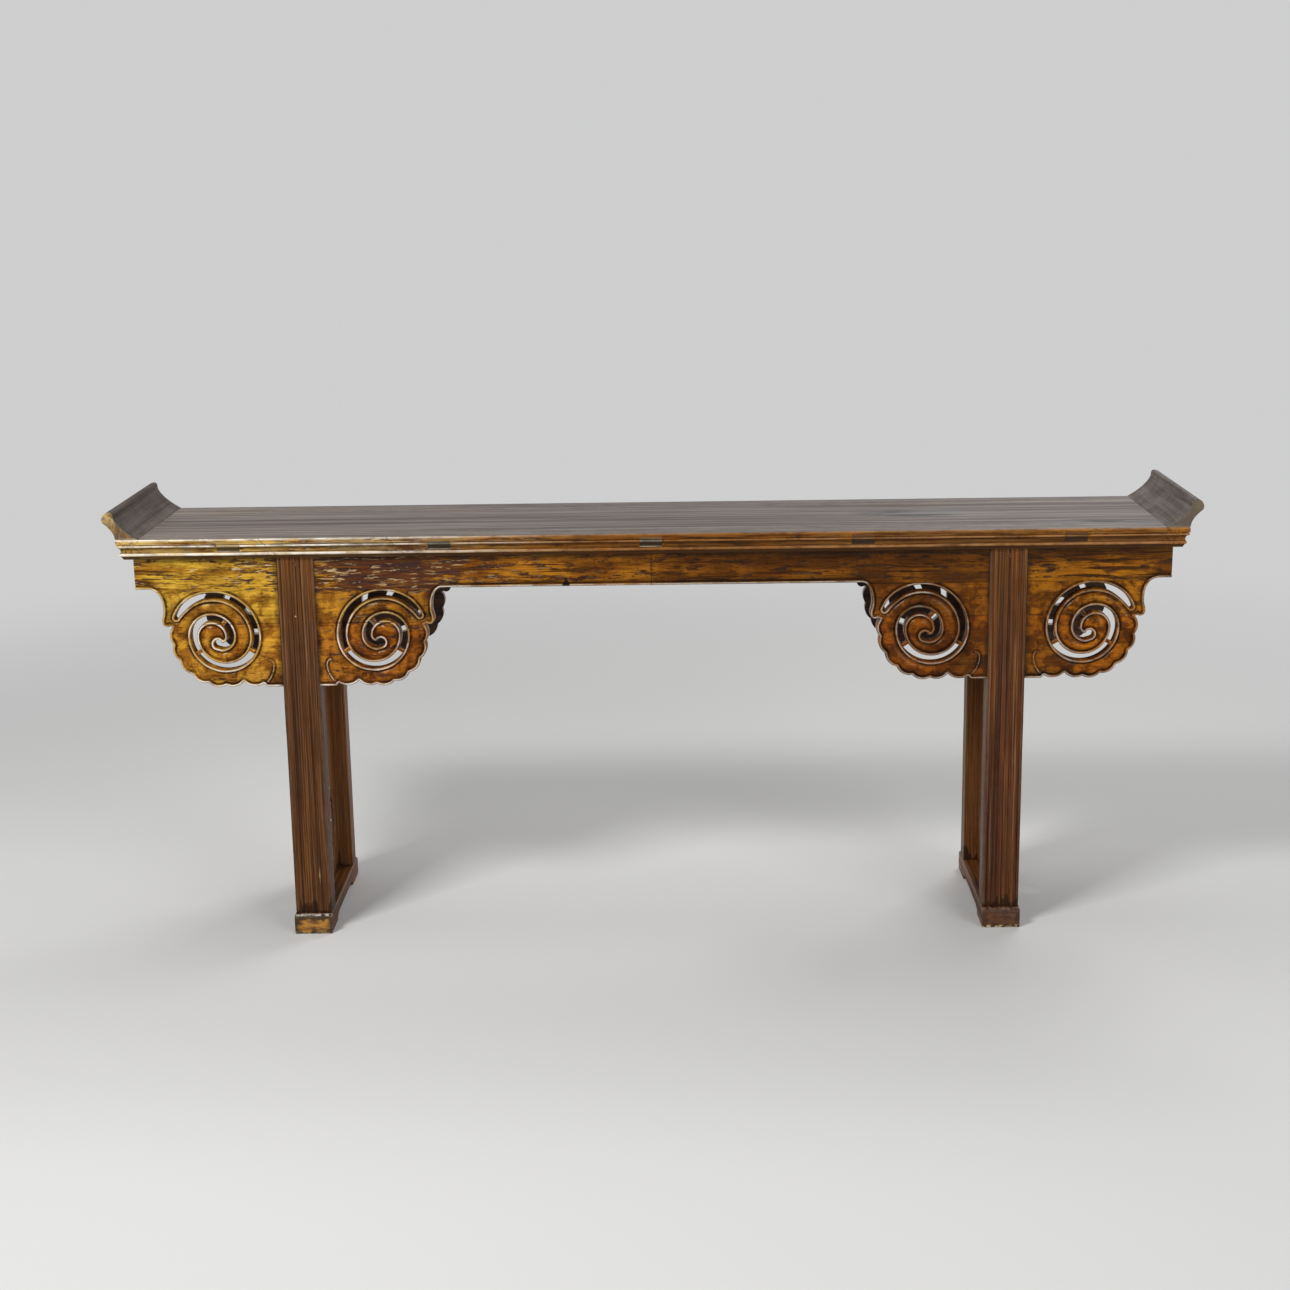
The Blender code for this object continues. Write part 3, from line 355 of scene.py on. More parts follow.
def makeLacquer(name, swap):
    finish = woodFinish(name, swap)
    sideways, back, up = finish.axes()
    across = sideways.span(-endHigh.x, endHigh.x, kind="LINEAR")

    def cloud(pattern, detail, rough, shift=0.0):
        return finish.cloud(finish.turned(lacquer[pattern]), detail, rough, 0.3, shift)

    def tone(label):
        return across.stops(lacquer[label])
    grain = finish.grain(lacquer)
    edges = finish.edges()
    broad = cloud("broad", 5.0, 0.55)
    drift = cloud("drift", 3.0, 0.5)
    gold = tone("gold")
    bright = tone("bright")
    dark = tone("dark")
    onRail = up > apronTop + 0.0002
    notRail = 1.0 - onRail
    onApron = up.span(*lacquer["boardTop"], 0.42, 1.0)
    onBoards = up.span(*lacquer["boardTop"], 1.0, 0.0)      # the carved boards below the apron
    lessGrain = onBoards.share(1.0, 0.35)

    # gold and brown clouds with streaks, scratches, specks, runs and stains
    cloudy = broad * (1.0 - onBoards) + cloud("mottle", 5.0, 0.6, 2.0) * onBoards
    colour = cloudy.span(0.41, 0.58).between(tone("middle"), bright)
    streaks = cloud("streak", 5.0, 0.62, 3.0).span(0.50, 0.61) * lessGrain
    colour = (streaks * drift.span(0.36, 0.58, 0.30, 0.95)).between(colour, dark)
    scratches = cloud("scratch", 4.0, 0.6, 5.0).span(0.53, 0.63, 0.0, 0.6)
    colour = (scratches * lessGrain).between(colour, dark)
    specks = cloud("speckle", 3.0, 0.55).span(0.57, 0.66, 0.0, 0.8)
    colour = (specks * drift.span(0.42, 0.58, 0.9, 0.1)).between(colour, dark)
    runs = finish.cloud(lacquer["stain"], 5.0, 0.6).span(0.54, 0.66, 0.0, 0.75)
    runs = runs * up.span(*lacquer["boardTop"], 1.0, 0.3)
    colour = runs.between(colour, colour.tinted(lacquer["runTint"]))
    stains = cloud("mottle", 4.0, 0.55, 21.0).span(0.50, 0.64, 0.0, 0.8) * onBoards
    colour = stains.between(colour, colour.tinted(lacquer["stainTint"]))

    # old dark layers, broken by scratches and flecks of gold
    plum = finish.patches(finish.turned(lacquer["plumPatches"]), tone("plumShare") * onApron, 0.035)
    plumMask = plum * cloud("scratch", 5.0, 0.65, 11.0).span(0.38, 0.52, 0.50, 1.0)
    oldLayer = cloud("streak", 4.0, 0.6, 17.0).span(0.44, 0.58).between(tone("plum"), tone("russet"))
    colour = plumMask.between(colour, oldLayer)
    flecks = cloud("fleck", 4.0, 0.6, 7.0).span(0.565, 0.625) * (gold * onApron)
    colour = (flecks * 0.85).between(colour, plum.between(bright, lacquer["cream"]))
    deep = finish.cloud(lacquer["shadows"], 4.0, 0.6).span(0.46, 0.62, 0.0, 0.5)
    colour = deep.between(colour, colour.tinted(lacquer["shadowTint"]))
    rubbed = cloud("streak", 6.0, 0.66, 9.0).span(0.44, 0.58, 0.0, 0.5) * onRail
    colour = rubbed.between(colour, gold.between(lacquer["rubbedRight"], lacquer["rubbedLeft"]))
    colour = colour.tinted(grain["Fibre"].stops(greys((0.0, 0.80), (1.0, 1.14))))

    # boards below the glue line are redder, the spirals browner, the right spandrels lighter than their apron
    glueLine, soft = lacquer["glueLine"], lacquer["glueSoft"]
    lower = up.span(glueLine - soft, glueLine + soft, 0.75, 0.0)
    colour = lower.between(colour, colour.tinted(lacquer["lowerTint"]))
    fromAxis = abs(abs(sideways) - legCentre)
    outScroll = fromAxis - lacquer["scroll"][0]
    upScroll = up - lacquer["scroll"][1]
    fromScroll = (outScroll * outScroll + upScroll * upScroll).root()
    scroll = fromScroll.span(0.074, 0.100, 1.0, 0.0) * drift.span(0.38, 0.56, 0.25, 0.9)
    colour = (scroll * gold).between(colour, colour.tinted(lacquer["scrollTint"]))
    lift = up.span(*lacquer["liftTop"], 1.0, 0.0) * across.span(0.50, 0.62)
    lighter = (abs(sideways) < legCentre).between(lacquer["outerLift"], lacquer["innerLift"])
    colour = lift.between(colour, colour.tinted(lighter))

    # painted shade on the apron's upper edge at the right, the lobes and the middle of the rail
    atRight = across.span(0.46, 0.60)
    shadedUpperEdge = (up + broad * 0.05).span(*lacquer["shadedUpperEdge"]) * (atRight * notRail)
    colour = (shadedUpperEdge * 0.8).between(colour, colour.tinted(lacquer["upperShadeTint"]))
    lobes = fromScroll.span(0.092, 0.104) * up.span(*lacquer["lobeTop"], 0.85, 0.0)
    lobes = lobes * broad.span(0.40, 0.55, 0.6, 1.0)
    lobeTint = atRight.between(lacquer["leftLobes"], lacquer["rightLobes"])
    colour = lobes.between(colour, colour.tinted(lobeTint))
    midRail = abs(across - 0.5).span(0.07, 0.18, 0.8, 0.0) * onRail

    # grime at the glue line and the middle joint, painted shade under the moulding and beside the legs, grime
    # and painted shade in the quirks
    patchy = broad.span(0.42, 0.56, 0.35, 1.0)
    dirtAndShade = abs(up - glueLine).span(*lacquer["seam"], 0.8, 0.0) * patchy
    shadeUnderTop = up.span(apronTop - 0.020, apronTop - 0.001, 0.0, 0.5) * notRail
    shadeBesideLeg = fromAxis.span(legHalf, legHalf + 0.012, 0.6, 0.0) * notRail
    quirks = edges["Dirt"] * (onRail + patchy).span(0.35, 1.0, 0.5, 0.95)
    joint = abs(sideways).span(0.0004, 0.0013, 0.75, 0.0) * notRail
    for item in (shadeUnderTop, shadeBesideLeg, quirks, joint):
        dirtAndShade = dirtAndShade.most(item)
    for spot, height in lacquer["scarfs"]:
        slant = (sideways - spot) + (up - height)
        dirtAndShade = dirtAndShade.most(abs(slant).span(*lacquer["seam"], 0.7, 0.0) * onRail)
    # the lost corner is not cut away but painted near-black, as painted shade
    spot, height, halfWide, rise = lacquer["chip"]
    chip = abs(sideways - spot) / halfWide + (up - height) / rise
    chip = chip + cloud("fleck", 2.0, 0.5) * 0.5
    dirtAndShade = dirtAndShade.most(chip.span(1.05, 1.25, 0.96, 0.0) * (back < 0.0))

    # crests, partly rubbed wood and partly painted highlight: white and brass at the left, brown at the
    # right; random pale spots are painted glints, the lower rims get a painted reflection of the bright
    # floor, the apron's lower rim a painted highlight
    spots = finish.cloud(13.0, 3.0, 0.55).span(0.48, 0.60)
    spots = spots.most(up.span(*lacquer["lowerRimReflection"], 1.0, 0.0))
    rimFoot, rimLow, rimHigh = lacquer["apronRimHighlight"]
    spots = spots.most(up.span(rimLow, rimHigh, 1.0, 0.0) * (up > rimFoot))
    bare = (spots * 0.85).most(onRail)
    tan = (spots * 0.75).between(lacquer["boardTan"], lacquer["boardGlint"])
    brown = onRail.between(tan, lacquer["railTan"])
    crest = gold.between(brown, bare.between(lacquer["brass"], lacquer["pale"]))
    colour = (edges["Wear"] * gold.share(0.66, 0.92)).between(colour, crest)
    colour = midRail.between(colour, colour.tinted(lacquer["midRail"]))
    # grime and painted shade: near-black on the boards, dark brown on the rails
    colour = dirtAndShade.between(colour, onRail.between(lacquer["grime"], lacquer["recess"]))
    rough = grain["Streak"].share(*lacquer["roughness"]) + plumMask * 0.12
    return finish.done(colour, rough, grain["Height"] - plumMask * 0.5, 0.0005, 0.6, lacquer["shine"])


legWood = {
    "brown": (0.130, 0.048, 0.0145),
    "red": (0.114, 0.034, 0.0115),
    "dark": (0.017, 0.0056, 0.0028),
    "orange": (0.225, 0.082, 0.017),
    "tan": (0.25, 0.128, 0.062),
    "pale": (0.36, 0.29, 0.23),
    "chalk": (0.62, 0.58, 0.50),
    "bare": (0.42, 0.235, 0.095),
    "grime": (0.010, 0.006, 0.0045),
    "fibre": (620.0, 620.0, 9.0),
    "streak": (190.0, 190.0, 1.5),
    "lines": (330.0, 330.0, 2.6),
    "patches": (30.0, 30.0, 2.6),
    "dripping": (95.0, 95.0, 8.0),
    "orangeRise": (0.62, 0.80),      # heights between which the legs turn orange
    "drips": (0.004, 0.034),      # least and most height of the stains above the shoe
    "mark": (-0.715, 0.127, 0.0030, 0.026),      # worn mark low on the left front leg: place and half size
    "shine": {"Specular IOR Level": 0.10, "Specular Tint": (1.0, 0.80, 0.62)},
}


def makeLegWood(name, swap):
    finish = woodFinish(name, swap)
    sideways, back, up = finish.axes()
    rightness = sideways.span(-0.3, 0.3)
    rearness = back.span(-0.05, 0.05)
    grain = finish.grain(legWood)
    lines = finish.cloud(finish.turned(legWood["lines"]), 3.0, 0.5)
    orange = finish.patches(finish.turned(legWood["patches"]), rearness.share(0.42, 0.80), 0.09)
    edges = finish.edges(30.0)
    colour = rightness.between(legWood["brown"], legWood["red"])
    colour = (orange * 0.75).between(colour, legWood["orange"])
    colour = up.span(*legWood["orangeRise"], 0.0, 0.75).between(colour, legWood["orange"])
    colour = (grain["Streak"] * rearness.share(0.88, 0.62)).between(colour, legWood["dark"])
    colour = lines.span(0.58, 0.66, 0.0, 0.55).between(colour, legWood["tan"])
    colour = colour.tinted(grain["Fibre"].stops(greys((0.0, 0.60), (1.0, 1.30))))
    # pale on worn edges, partly a painted highlight
    colour = (edges["Wear"] * 0.22).between(colour, legWood["pale"])

    # worn mark low on the left front leg, grime and painted shade in the grooves, stains above the shoe, and
    # the chalky top of the left toe
    spot, height, halfWide, halfHigh = legWood["mark"]
    mark = abs(sideways - spot) / halfWide + abs(up - height) / halfHigh + grain["Fibre"]
    mark = mark.span(0.8, 1.5, 0.9, 0.0) * (back < -legFace + 0.004)
    colour = mark.between(colour, legWood["bare"])
    leastDrip, mostDrip = legWood["drips"]
    drips = finish.cloud(legWood["dripping"], 2.0, 0.5)
    reach = drips.span(0.38, 0.66, shoeTop + leastDrip, shoeTop + mostDrip)
    stain = (up - reach).span(-0.004, 0.003, 0.72, 0.0) * (up > shoeTop)
    colour = (edges["Dirt"] * 0.8).most(stain).between(colour, legWood["grime"])
    toeTop = up.span(shoeTop - 0.007, shoeTop - 0.002)
    toeTop = toeTop * back.span(-legFace - 0.010, -legFace - 0.003, 1.0, 0.0)
    chalky = finish.cloud(120.0, 4.0, 0.6).span(0.40, 0.55) * rightness.share(0.9, 0.15)
    colour = (toeTop * chalky).between(colour, legWood["chalk"])
    rough = grain["Streak"].share(0.30, 0.45)
    return finish.done(colour, rough, grain["Height"], 0.0006, 0.7, legWood["shine"])


# near-black colours stand for the shade under the table
innerShadeWood = {
    "dark": (0.020, 0.0100, 0.0065),
    "brown": (0.062, 0.030, 0.017),
    "fibre": (14.0, 360.0, 360.0),
    "streak": (3.0, 90.0, 90.0),
    "shine": {"Specular IOR Level": 0.2},
}


def makeInnerShadeWood(name):      # inner faces, never lacquered, and painted darker still as the shade under the table
    finish = woodFinish(name)
    grain = finish.grain(innerShadeWood)
    colour = grain["Streak"].between(innerShadeWood["brown"], innerShadeWood["dark"])
    colour = colour.tinted(grain["Fibre"].stops(greys((0.0, 0.70), (1.0, 1.25))))
    rough = grain["Fibre"].share(0.55, 0.72)
    return finish.done(colour, rough, grain["Height"], 0.0006, 0.8, innerShadeWood["shine"])


toeGrain = {
    "gold": (0.44, 0.205, 0.036),
    "red": (0.125, 0.048, 0.020),
    "brown": (0.105, 0.042, 0.014),
    "dark": (0.040, 0.018, 0.010),
    "chip": (0.62, 0.46, 0.24),
    "grime": (0.022, 0.014, 0.009),
    "rings": (42.0, 42.0, 120.0),
    "sideRim": (0.025, 0.034),      # where the darker rim begins and ends, from the leg's axis and in height
    "upperRim": (0.027, 0.034),
    "lowerRim": (0.004, 0.010),
    "chipHeight": (0.002, 0.009),
    "shine": {"Specular IOR Level": 0.25},
}


def makeToeGrain(name):
    finish = woodFinish(name)
    sideways, back, up = finish.axes()
    rightness = sideways.span(-0.3, 0.3)
    rings = finish.cloud(toeGrain["rings"], 5.0, 0.62, 0.5)
    uneven = finish.cloud(70.0, 3.0, 0.5).span(0.3, 0.7, -0.004, 0.004)
    aside = abs(abs(sideways) - legCentre) + uneven
    shifted = up + uneven
    colour = rightness.between(toeGrain["gold"], toeGrain["red"])
    streak = rightness.between(toeGrain["brown"], toeGrain["dark"])
    colour = rings.span(0.42, 0.62, 0.0, 0.8).between(colour, streak)
    rim = aside.span(*toeGrain["sideRim"]).most(shifted.span(*toeGrain["upperRim"]))
    rim = rim.most(shifted.span(*toeGrain["lowerRim"], 1.0, 0.0)) * rightness.share(0.88, 0.50)
    colour = rim.between(colour, toeGrain["grime"])
    chips = up.span(*toeGrain["chipHeight"], 1.0, 0.0) * finish.cloud(160.0, 4.0, 0.6).span(0.50, 0.58)
    colour = (chips * rightness.share(0.35, 1.0)).between(colour, toeGrain["chip"])
    return finish.done(colour, rings.span(0.3, 0.7, 0.45, 0.6), rings, 0.0006, 0.7, toeGrain["shine"])


wornTop = {
    "grey": (0.212, 0.172, 0.148),
    "brown": (0.072, 0.050, 0.041),
    "pale": (0.40, 0.35, 0.29),
    "bluish": (0.20, 0.205, 0.215),
    "crack": (0.012, 0.009, 0.008),
    "leftTint": (0.49, 0.415, 0.375),
    "footTint": (0.86, 0.80, 0.76),
    "footRise": 0.014,
    "fibre": (9.0, 420.0, 420.0),
    "streak": (1.6, 95.0, 95.0),
    "cracks": (3.6, 25.0, 25.0),
    "lengthwise": greys((0.0, 1.0), (0.30, 0.93), (0.48, 0.80), (0.75, 0.82),
                        (1.0, 0.90)),      # tone from the left end to the right
    "crackSpots": [(0.585, 0.012, 0.150, 0.055), (0.900, -0.125, 0.160, 0.040)],      # middle and half size
    "surface": {"swap": (0, 0), "broad": (1.3, 17.0, 17.0), "streaky": 0.72, "shade": 1.0, "shine": 0.28},
    "flange": {"swap": (0, 1), "broad": (16.0, 22.0, 22.0), "streaky": 0.28, "shade": 0.70, "shine": 0.16},
}


def makeWornTop(name, kind):
    own = wornTop[kind]
    finish = woodFinish(name, own["swap"])
    sideways, back, up = finish.axes()
    grain = finish.grain(wornTop)
    broad = finish.cloud(own["broad"], 5.0, 0.6)
    edges = finish.edges()
    worn = grain["Streak"] * own["streaky"] + broad.span(0.36, 0.64, 0.0, 0.5)
    colour = worn.between(wornTop["grey"], wornTop["brown"])
    tones = greys((0.0, 0.72 * own["shade"]), (1.0, 1.22 * own["shade"]))
    colour = colour.tinted(grain["Fibre"].stops(tones))
    if kind == "surface":
        colour = colour.tinted(sideways.span(-endHigh.x, endHigh.x).stops(wornTop["lengthwise"]))
    else:      # the left flange is the darker one
        foot = up.span(topHeight, topHeight + wornTop["footRise"], 1.0, 0.0)
        darker = colour.tinted(foot.between(wornTop["leftTint"], wornTop["footTint"]))
        colour = sideways.span(-0.3, 0.3, 1.0, 0.0).between(colour, darker)

    # wavy cracks where the panel has opened, in two places towards the right
    split = finish.cloud(wornTop["cracks"], 4.0, 0.55, 0.6)
    line = abs(split - 0.5).span(0.014, 0.060, 1.0, 0.0)
    opened = 0.0
    for spotX, spotY, halfLong, halfWide in wornTop["crackSpots"]:
        outX = (sideways - spotX) / halfLong
        outY = (back - spotY) / halfWide
        opened = (outX * outX + outY * outY + broad).span(0.6, 2.0, 1.0, 0.0).most(opened)
    opened = opened * (sideways < endInner)
    colour = (opened * 0.22).between(colour, wornTop["bluish"])
    cracks = line * opened
    colour = (cracks * 0.9).between(colour, wornTop["crack"])
    # pale on worn edges, partly a painted highlight; dark in hollows, partly painted shade
    colour = (edges["Wear"] * 0.6).between(colour, wornTop["pale"])
    colour = edges["Dirt"].between(colour, wornTop["crack"])
    return finish.done(colour, grain["Streak"].share(0.44, 0.60), grain["Height"] - cracks, 0.0006, 0.6,
                       {"Specular IOR Level": own["shine"]})


endGrain = {      # colour stops run from the left tip to the right one
    "face": [(0.114, (0.40, 0.235, 0.060)), (0.22, (0.062, 0.052, 0.034)), (0.40, (0.058, 0.046, 0.028)),
             (0.50, (0.052, 0.033, 0.018)), (0.69, (0.105, 0.046, 0.015)), (0.886, (0.110, 0.044, 0.014))],
    "layer": [(0.114, (0.62, 0.44, 0.16)), (0.30, (0.24, 0.205, 0.140)), (0.50, (0.20, 0.150, 0.095)),
              (0.69, (0.20, 0.090, 0.032)), (0.886, (0.21, 0.090, 0.030))],
    "crest": [(0.114, (0.90, 0.82, 0.62)), (0.30, (0.26, 0.235, 0.180)), (0.50, (0.30, 0.26, 0.20)),
              (0.69, (0.34, 0.160, 0.055)), (0.886, (0.34, 0.150, 0.050))],
    "upper": [(0.114, (0.42, 0.25, 0.060)), (0.30, (0.32, 0.165, 0.036)), (0.50, (0.21, 0.090, 0.020)),
              (0.69, (0.155, 0.058, 0.014)), (0.886, (0.150, 0.055, 0.013))],
    "recess": (0.026, 0.014, 0.008),
    "glint": (0.62, 0.55, 0.42),
    "layers": (9.0, 9.0, 330.0),
    "patches": (30.0, 30.0, 70.0),
    "upperDrop": 0.0098,      # drops below the surface
    "quirkDrop": 0.0123,
    "crestDrop": 0.0150,
    "recessDrop": 0.0178,
    "glintDrop": 0.0272,
    "shine": {"Specular IOR Level": 0.15},
}


def makeEndGrain(name):      # tips of the battens, moulded like the rail, with the moulding's highlights and shade painted on in bands
    finish = woodFinish(name)
    sideways, back, up = finish.axes()
    across = sideways.span(-endHigh.x, endHigh.x, kind="LINEAR")
    drop = topHeight - up

    def band(label, inner, outer):
        return abs(drop - endGrain[label]).span(inner, outer, 1.0, 0.0)
    bands = ("face", "layer", "crest", "upper")
    face, layer, crest, upper = [across.stops(endGrain[label]) for label in bands]
    layers = finish.cloud(endGrain["layers"], 4.0, 0.55, 0.4)
    specks = finish.cloud(900.0, 2.0, 0.5)
    patchy = finish.patches(endGrain["patches"], 0.45, 0.12).share(0.45, 1.0)
    mask = layers.span(0.42, 0.60) * patchy
    colour = mask.between(face, layer)
    upperDrop, recessDrop = endGrain["upperDrop"], endGrain["recessDrop"]
    colour = drop.span(upperDrop - 0.0008, upperDrop + 0.0008, 0.9, 0.0).between(colour, upper)
    # bands at the moulding's heights: painted highlight on the bead's crest and along the lower edge, painted
    # shade in the quirk and the recess
    recess = drop.span(recessDrop - 0.0010, recessDrop + 0.0006, 0.0, 0.85)
    colour = recess.between(colour, endGrain["recess"])
    colour = (band("crestDrop", 0.0008, 0.0019) * patchy).between(colour, crest)
    colour = (band("quirkDrop", 0.0004, 0.0013) * 0.8).between(colour, endGrain["recess"])
    glint = band("glintDrop", 0.0004, 0.0010) * across.span(0.50, 0.60, 0.75, 0.0)
    colour = (glint * patchy).between(colour, endGrain["glint"])
    colour = colour.tinted(specks.stops(greys((0.3, 0.4), (0.7, 1.0))), 0.35)
    rough = layers.span(0.3, 0.7, 0.40, 0.60)
    return finish.done(colour, rough, mask + specks, 0.0005, 0.8, endGrain["shine"])


flangeGrain = {
    "straw": (0.50, 0.36, 0.145),
    "tan": (0.26, 0.140, 0.042),
    "brown": (0.085, 0.042, 0.018),
    "olive": (0.100, 0.084, 0.068),
    "pale": (0.80, 0.74, 0.56),
    "grime": (0.02, 0.012, 0.008),
    "rings": (230.0, 12.0, 60.0),
    "patches": (60.0, 60.0, 60.0),
    "worn": (110.0, 20.0, 45.0),
    "rise": (0.006, 0.050),      # heights above the surface between which the tip turns straw
    "shine": {"Specular IOR Level": 0.22},
}


def makeFlangeGrain(name):
    finish = woodFinish(name)
    sideways, back, up = finish.axes()
    leftness = sideways.span(-0.3, 0.3, 1.0, 0.0)
    rings = finish.cloud(flangeGrain["rings"], 4.0, 0.6, 0.8)
    patches = finish.patches(flangeGrain["patches"], 0.5, 0.08)
    worn = finish.patches(flangeGrain["worn"], leftness.share(0.85, 0.42), 0.05)
    edges = finish.edges()
    rise = up.span(*[topHeight + height for height in flangeGrain["rise"]])
    colour = rings.span(0.38, 0.62).between(flangeGrain["brown"], flangeGrain["tan"])
    colour = (worn * 0.85).between(colour, flangeGrain["olive"])
    tip = rise * (patches * 0.8 + 0.1) * leftness.share(0.12, 1.0)
    colour = tip.between(colour, flangeGrain["straw"])
    # pale worn edges near the tip, partly a painted highlight; dark in hollows, partly painted shade
    bare = edges["Wear"] * rise.share(0.55, 1.0) * leftness.share(0.35, 1.0)
    colour = bare.between(colour, flangeGrain["pale"])
    colour = edges["Dirt"].between(colour, flangeGrain["grime"])
    return finish.done(colour, rings.span(0.3, 0.7, 0.42, 0.56), rings, 0.0006, 0.7, flangeGrain["shine"])


nailTone = {"brass": (0.78, 0.70, 0.55), "tarnish": (0.30, 0.22, 0.14), "shine": {"Metallic": 1.0}}


def makeNailMetal(name):
    finish = woodFinish(name)
    tarnish = finish.cloud(700.0, 3.0, 0.6)
    colour = tarnish.span(0.4, 0.65).between(nailTone["brass"], nailTone["tarnish"])
    return finish.done(colour, tarnish.span(0.3, 0.7, 0.22, 0.45), tarnish, 0.0001, 0.5, nailTone["shine"])


goldenLacquer = makeLacquer("golden lacquer", (0, 0))
goldenShort = makeLacquer("golden lacquer short", (0, 1))
darkLeg = makeLegWood("dark leg wood", (0, 0))
darkShort = makeLegWood("dark leg wood short", (1, 2))
innerShadeFinish = makeInnerShadeWood("raw inner wood")
toeEnds = makeToeGrain("shoe end grain")
topSurface = makeWornTop("worn top", "surface")
flangeSurface = makeWornTop("worn flange", "flange")
battenGrain = makeEndGrain("batten end grain")
flangeEndGrain = makeFlangeGrain("flange end grain")
nailMetal = makeNailMetal("tarnished nail")
print("materials made")


# shared shapes
hair = 1e-6      # points closer than this lie on the same plane


def curvePoints(start, pull, end, count):      # quadratic curve without its first point
    points = []
    for step in range(1, count + 1):
        t = step / count
        near, mid, far = (1 - t) ** 2, 2 * t * (1 - t), t * t
        points.append(tuple(near * a + mid * b + far * c for a, b, c in zip(start, pull, end)))
    return points


def arcPoint(centre, radius, angle):
    return (centre[0] + radius * math.cos(angle), centre[1] + radius * math.sin(angle))


def lobePoints(start, end, bulge, count):      # round lobe to the left of its chord, without its first point
    chord = math.dist(start, end)
    height = bulge * chord
    radius = (chord ** 2 / 4 + height ** 2) / (2 * height)
    half = math.asin(chord / 2 / radius)
    normal = (-(end[1] - start[1]) / chord, (end[0] - start[0]) / chord)
    centre = [(a + b) / 2 + n * (height - radius) for a, b, n in zip(start, end, normal)]
    first = math.atan2(start[1] - centre[1], start[0] - centre[0])
    return [arcPoint(centre, radius, first - 2 * half * step / count) for step in range(1, count + 1)]


def newShape():
    bm = bmesh.new()
    return bm, bm.verts.layers.float.new("relief")


def onlyOf(items, kind):
    return [item for item in items if isinstance(item, kind)]


def drawOut(bm, faces, vec):
    drawn = bmesh.ops.extrude_face_region(bm, geom=faces)["geom"]
    bmesh.ops.translate(bm, verts=onlyOf(drawn, bmesh.types.BMVert), vec=vec)


def slicePlane(bm, spot, normal, near=hair, **more):
    everything = bm.verts[:] + bm.edges[:] + bm.faces[:]
    return bmesh.ops.bisect_plane(bm, geom=everything, dist=near, plane_co=spot, plane_no=normal, **more)


def addCube(bm, size, middle=(0.0, 0.0, 0.0)):
    bmesh.ops.create_cube(bm, size=1.0)
    bmesh.ops.scale(bm, verts=bm.verts, vec=size)
    bmesh.ops.translate(bm, verts=bm.verts, vec=middle)


def turnShape(bm, angle, axis, centre=(0.0, 0.0, 0.0)):
    bmesh.ops.rotate(bm, verts=bm.verts, cent=centre, matrix=Matrix.Rotation(angle, 3, axis))


def softenEdges(bm, edges, width, segments, worn=1.0):
    relief = bm.verts.layers.float["relief"]
    result = bmesh.ops.bevel(bm, geom=edges, offset=width, offset_type="OFFSET", segments=segments,
                             profile=0.5, affect="EDGES", material=-1, clamp_overlap=True)
    rounded = set(result["faces"])
    for vert in {vert for face in rounded for vert in face.verts}:
        if all(face in rounded for face in vert.link_faces):
            vert[relief] = worn


def sharpEdges(bm, least=30.0):
    return [edge for edge in bm.edges
            if len(edge.link_faces) == 2 and edge.calc_face_angle() > math.radians(least)]


def drawnBar(section, axis, low, high, step):      # a section of (first, second, relief), drawn along an axis
    orders = {"X": lambda a, b, c: (c, a, b), "Y": lambda a, b, c: (a, c, b), "Z": lambda a, b, c: (a, b, c)}
    order = orders[axis]
    bm, relief = newShape()
    ring = []
    for first, second, worn in section:
        vert = bm.verts.new(order(first, second, low))
        vert[relief] = worn
        ring.append(vert)
    drawOut(bm, [bm.faces.new(ring)], order(0.0, 0.0, high - low))
    count = max(1, round((high - low) / step))
    for index in range(1, count):
        slicePlane(bm, order(0.0, 0.0, low + (high - low) * index / count), order(0.0, 0.0, 1.0))
    bmesh.ops.recalc_face_normals(bm, faces=bm.faces)
    return bm


def handWorn(bm, amount, scale, keep=()):      # uneven hand-worked surface
    for vert in bm.verts:
        if not any(test(vert.co) for test in keep):
            vert.co += noise.noise_vector(vert.co * scale) * amount


def asMesh(name, bm):
    mesh = bpy.data.meshes.new(name)
    bm.to_mesh(mesh)
    bm.free()
    return mesh


def addTo(bm, other):      # puts one shape's mesh into another
    mesh = asMesh("added", other)
    bm.from_mesh(mesh)
    bpy.data.meshes.remove(mesh)


def cutAway(mesh, boxes):      # square housings and mortises
    holder = bpy.data.objects.new("work", mesh)
    scene.collection.objects.link(holder)
    cutters = []
    for low, high in boxes:
        bm = bmesh.new()
        addCube(bm, [b - a for a, b in zip(low, high)], [(a + b) / 2 for a, b in zip(low, high)])
        cutter = bpy.data.objects.new("cutter", asMesh("cutter", bm))
        scene.collection.objects.link(cutter)
        cut = holder.modifiers.new("cut", "BOOLEAN")
        cut.operation = "DIFFERENCE"
        cut.solver = "EXACT"
        cut.object = cutter
        cutters.append(cutter)
    bpy.context.view_layer.update()
    worked = holder.evaluated_get(bpy.context.evaluated_depsgraph_get())
    result = bpy.data.meshes.new_from_object(worked)
    for item in cutters + [holder]:
        spent = item.data
        bpy.data.objects.remove(item)
        bpy.data.meshes.remove(spent)
    return result


def setPiece(name, mesh, finishes, nodes, place=Matrix.Identity(4), smooth=35.0, pick=None):
    mesh = mesh.copy()
    mesh.name = name
    mesh.transform(place)
    mesh.materials.clear()
    for finish in finishes:
        mesh.materials.append(finish)
    for face in mesh.polygons:
        face.material_index = pick(face) if pick else 0
    mesh.shade_smooth()
    mesh.set_sharp_from_angle(angle=math.radians(smooth))
    mesh.update()
    piece = bpy.data.objects.new(name, mesh)
    scene.collection.objects.link(piece)
    if nodes:
        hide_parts(*nodes)
    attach(piece, "root")
    return piece


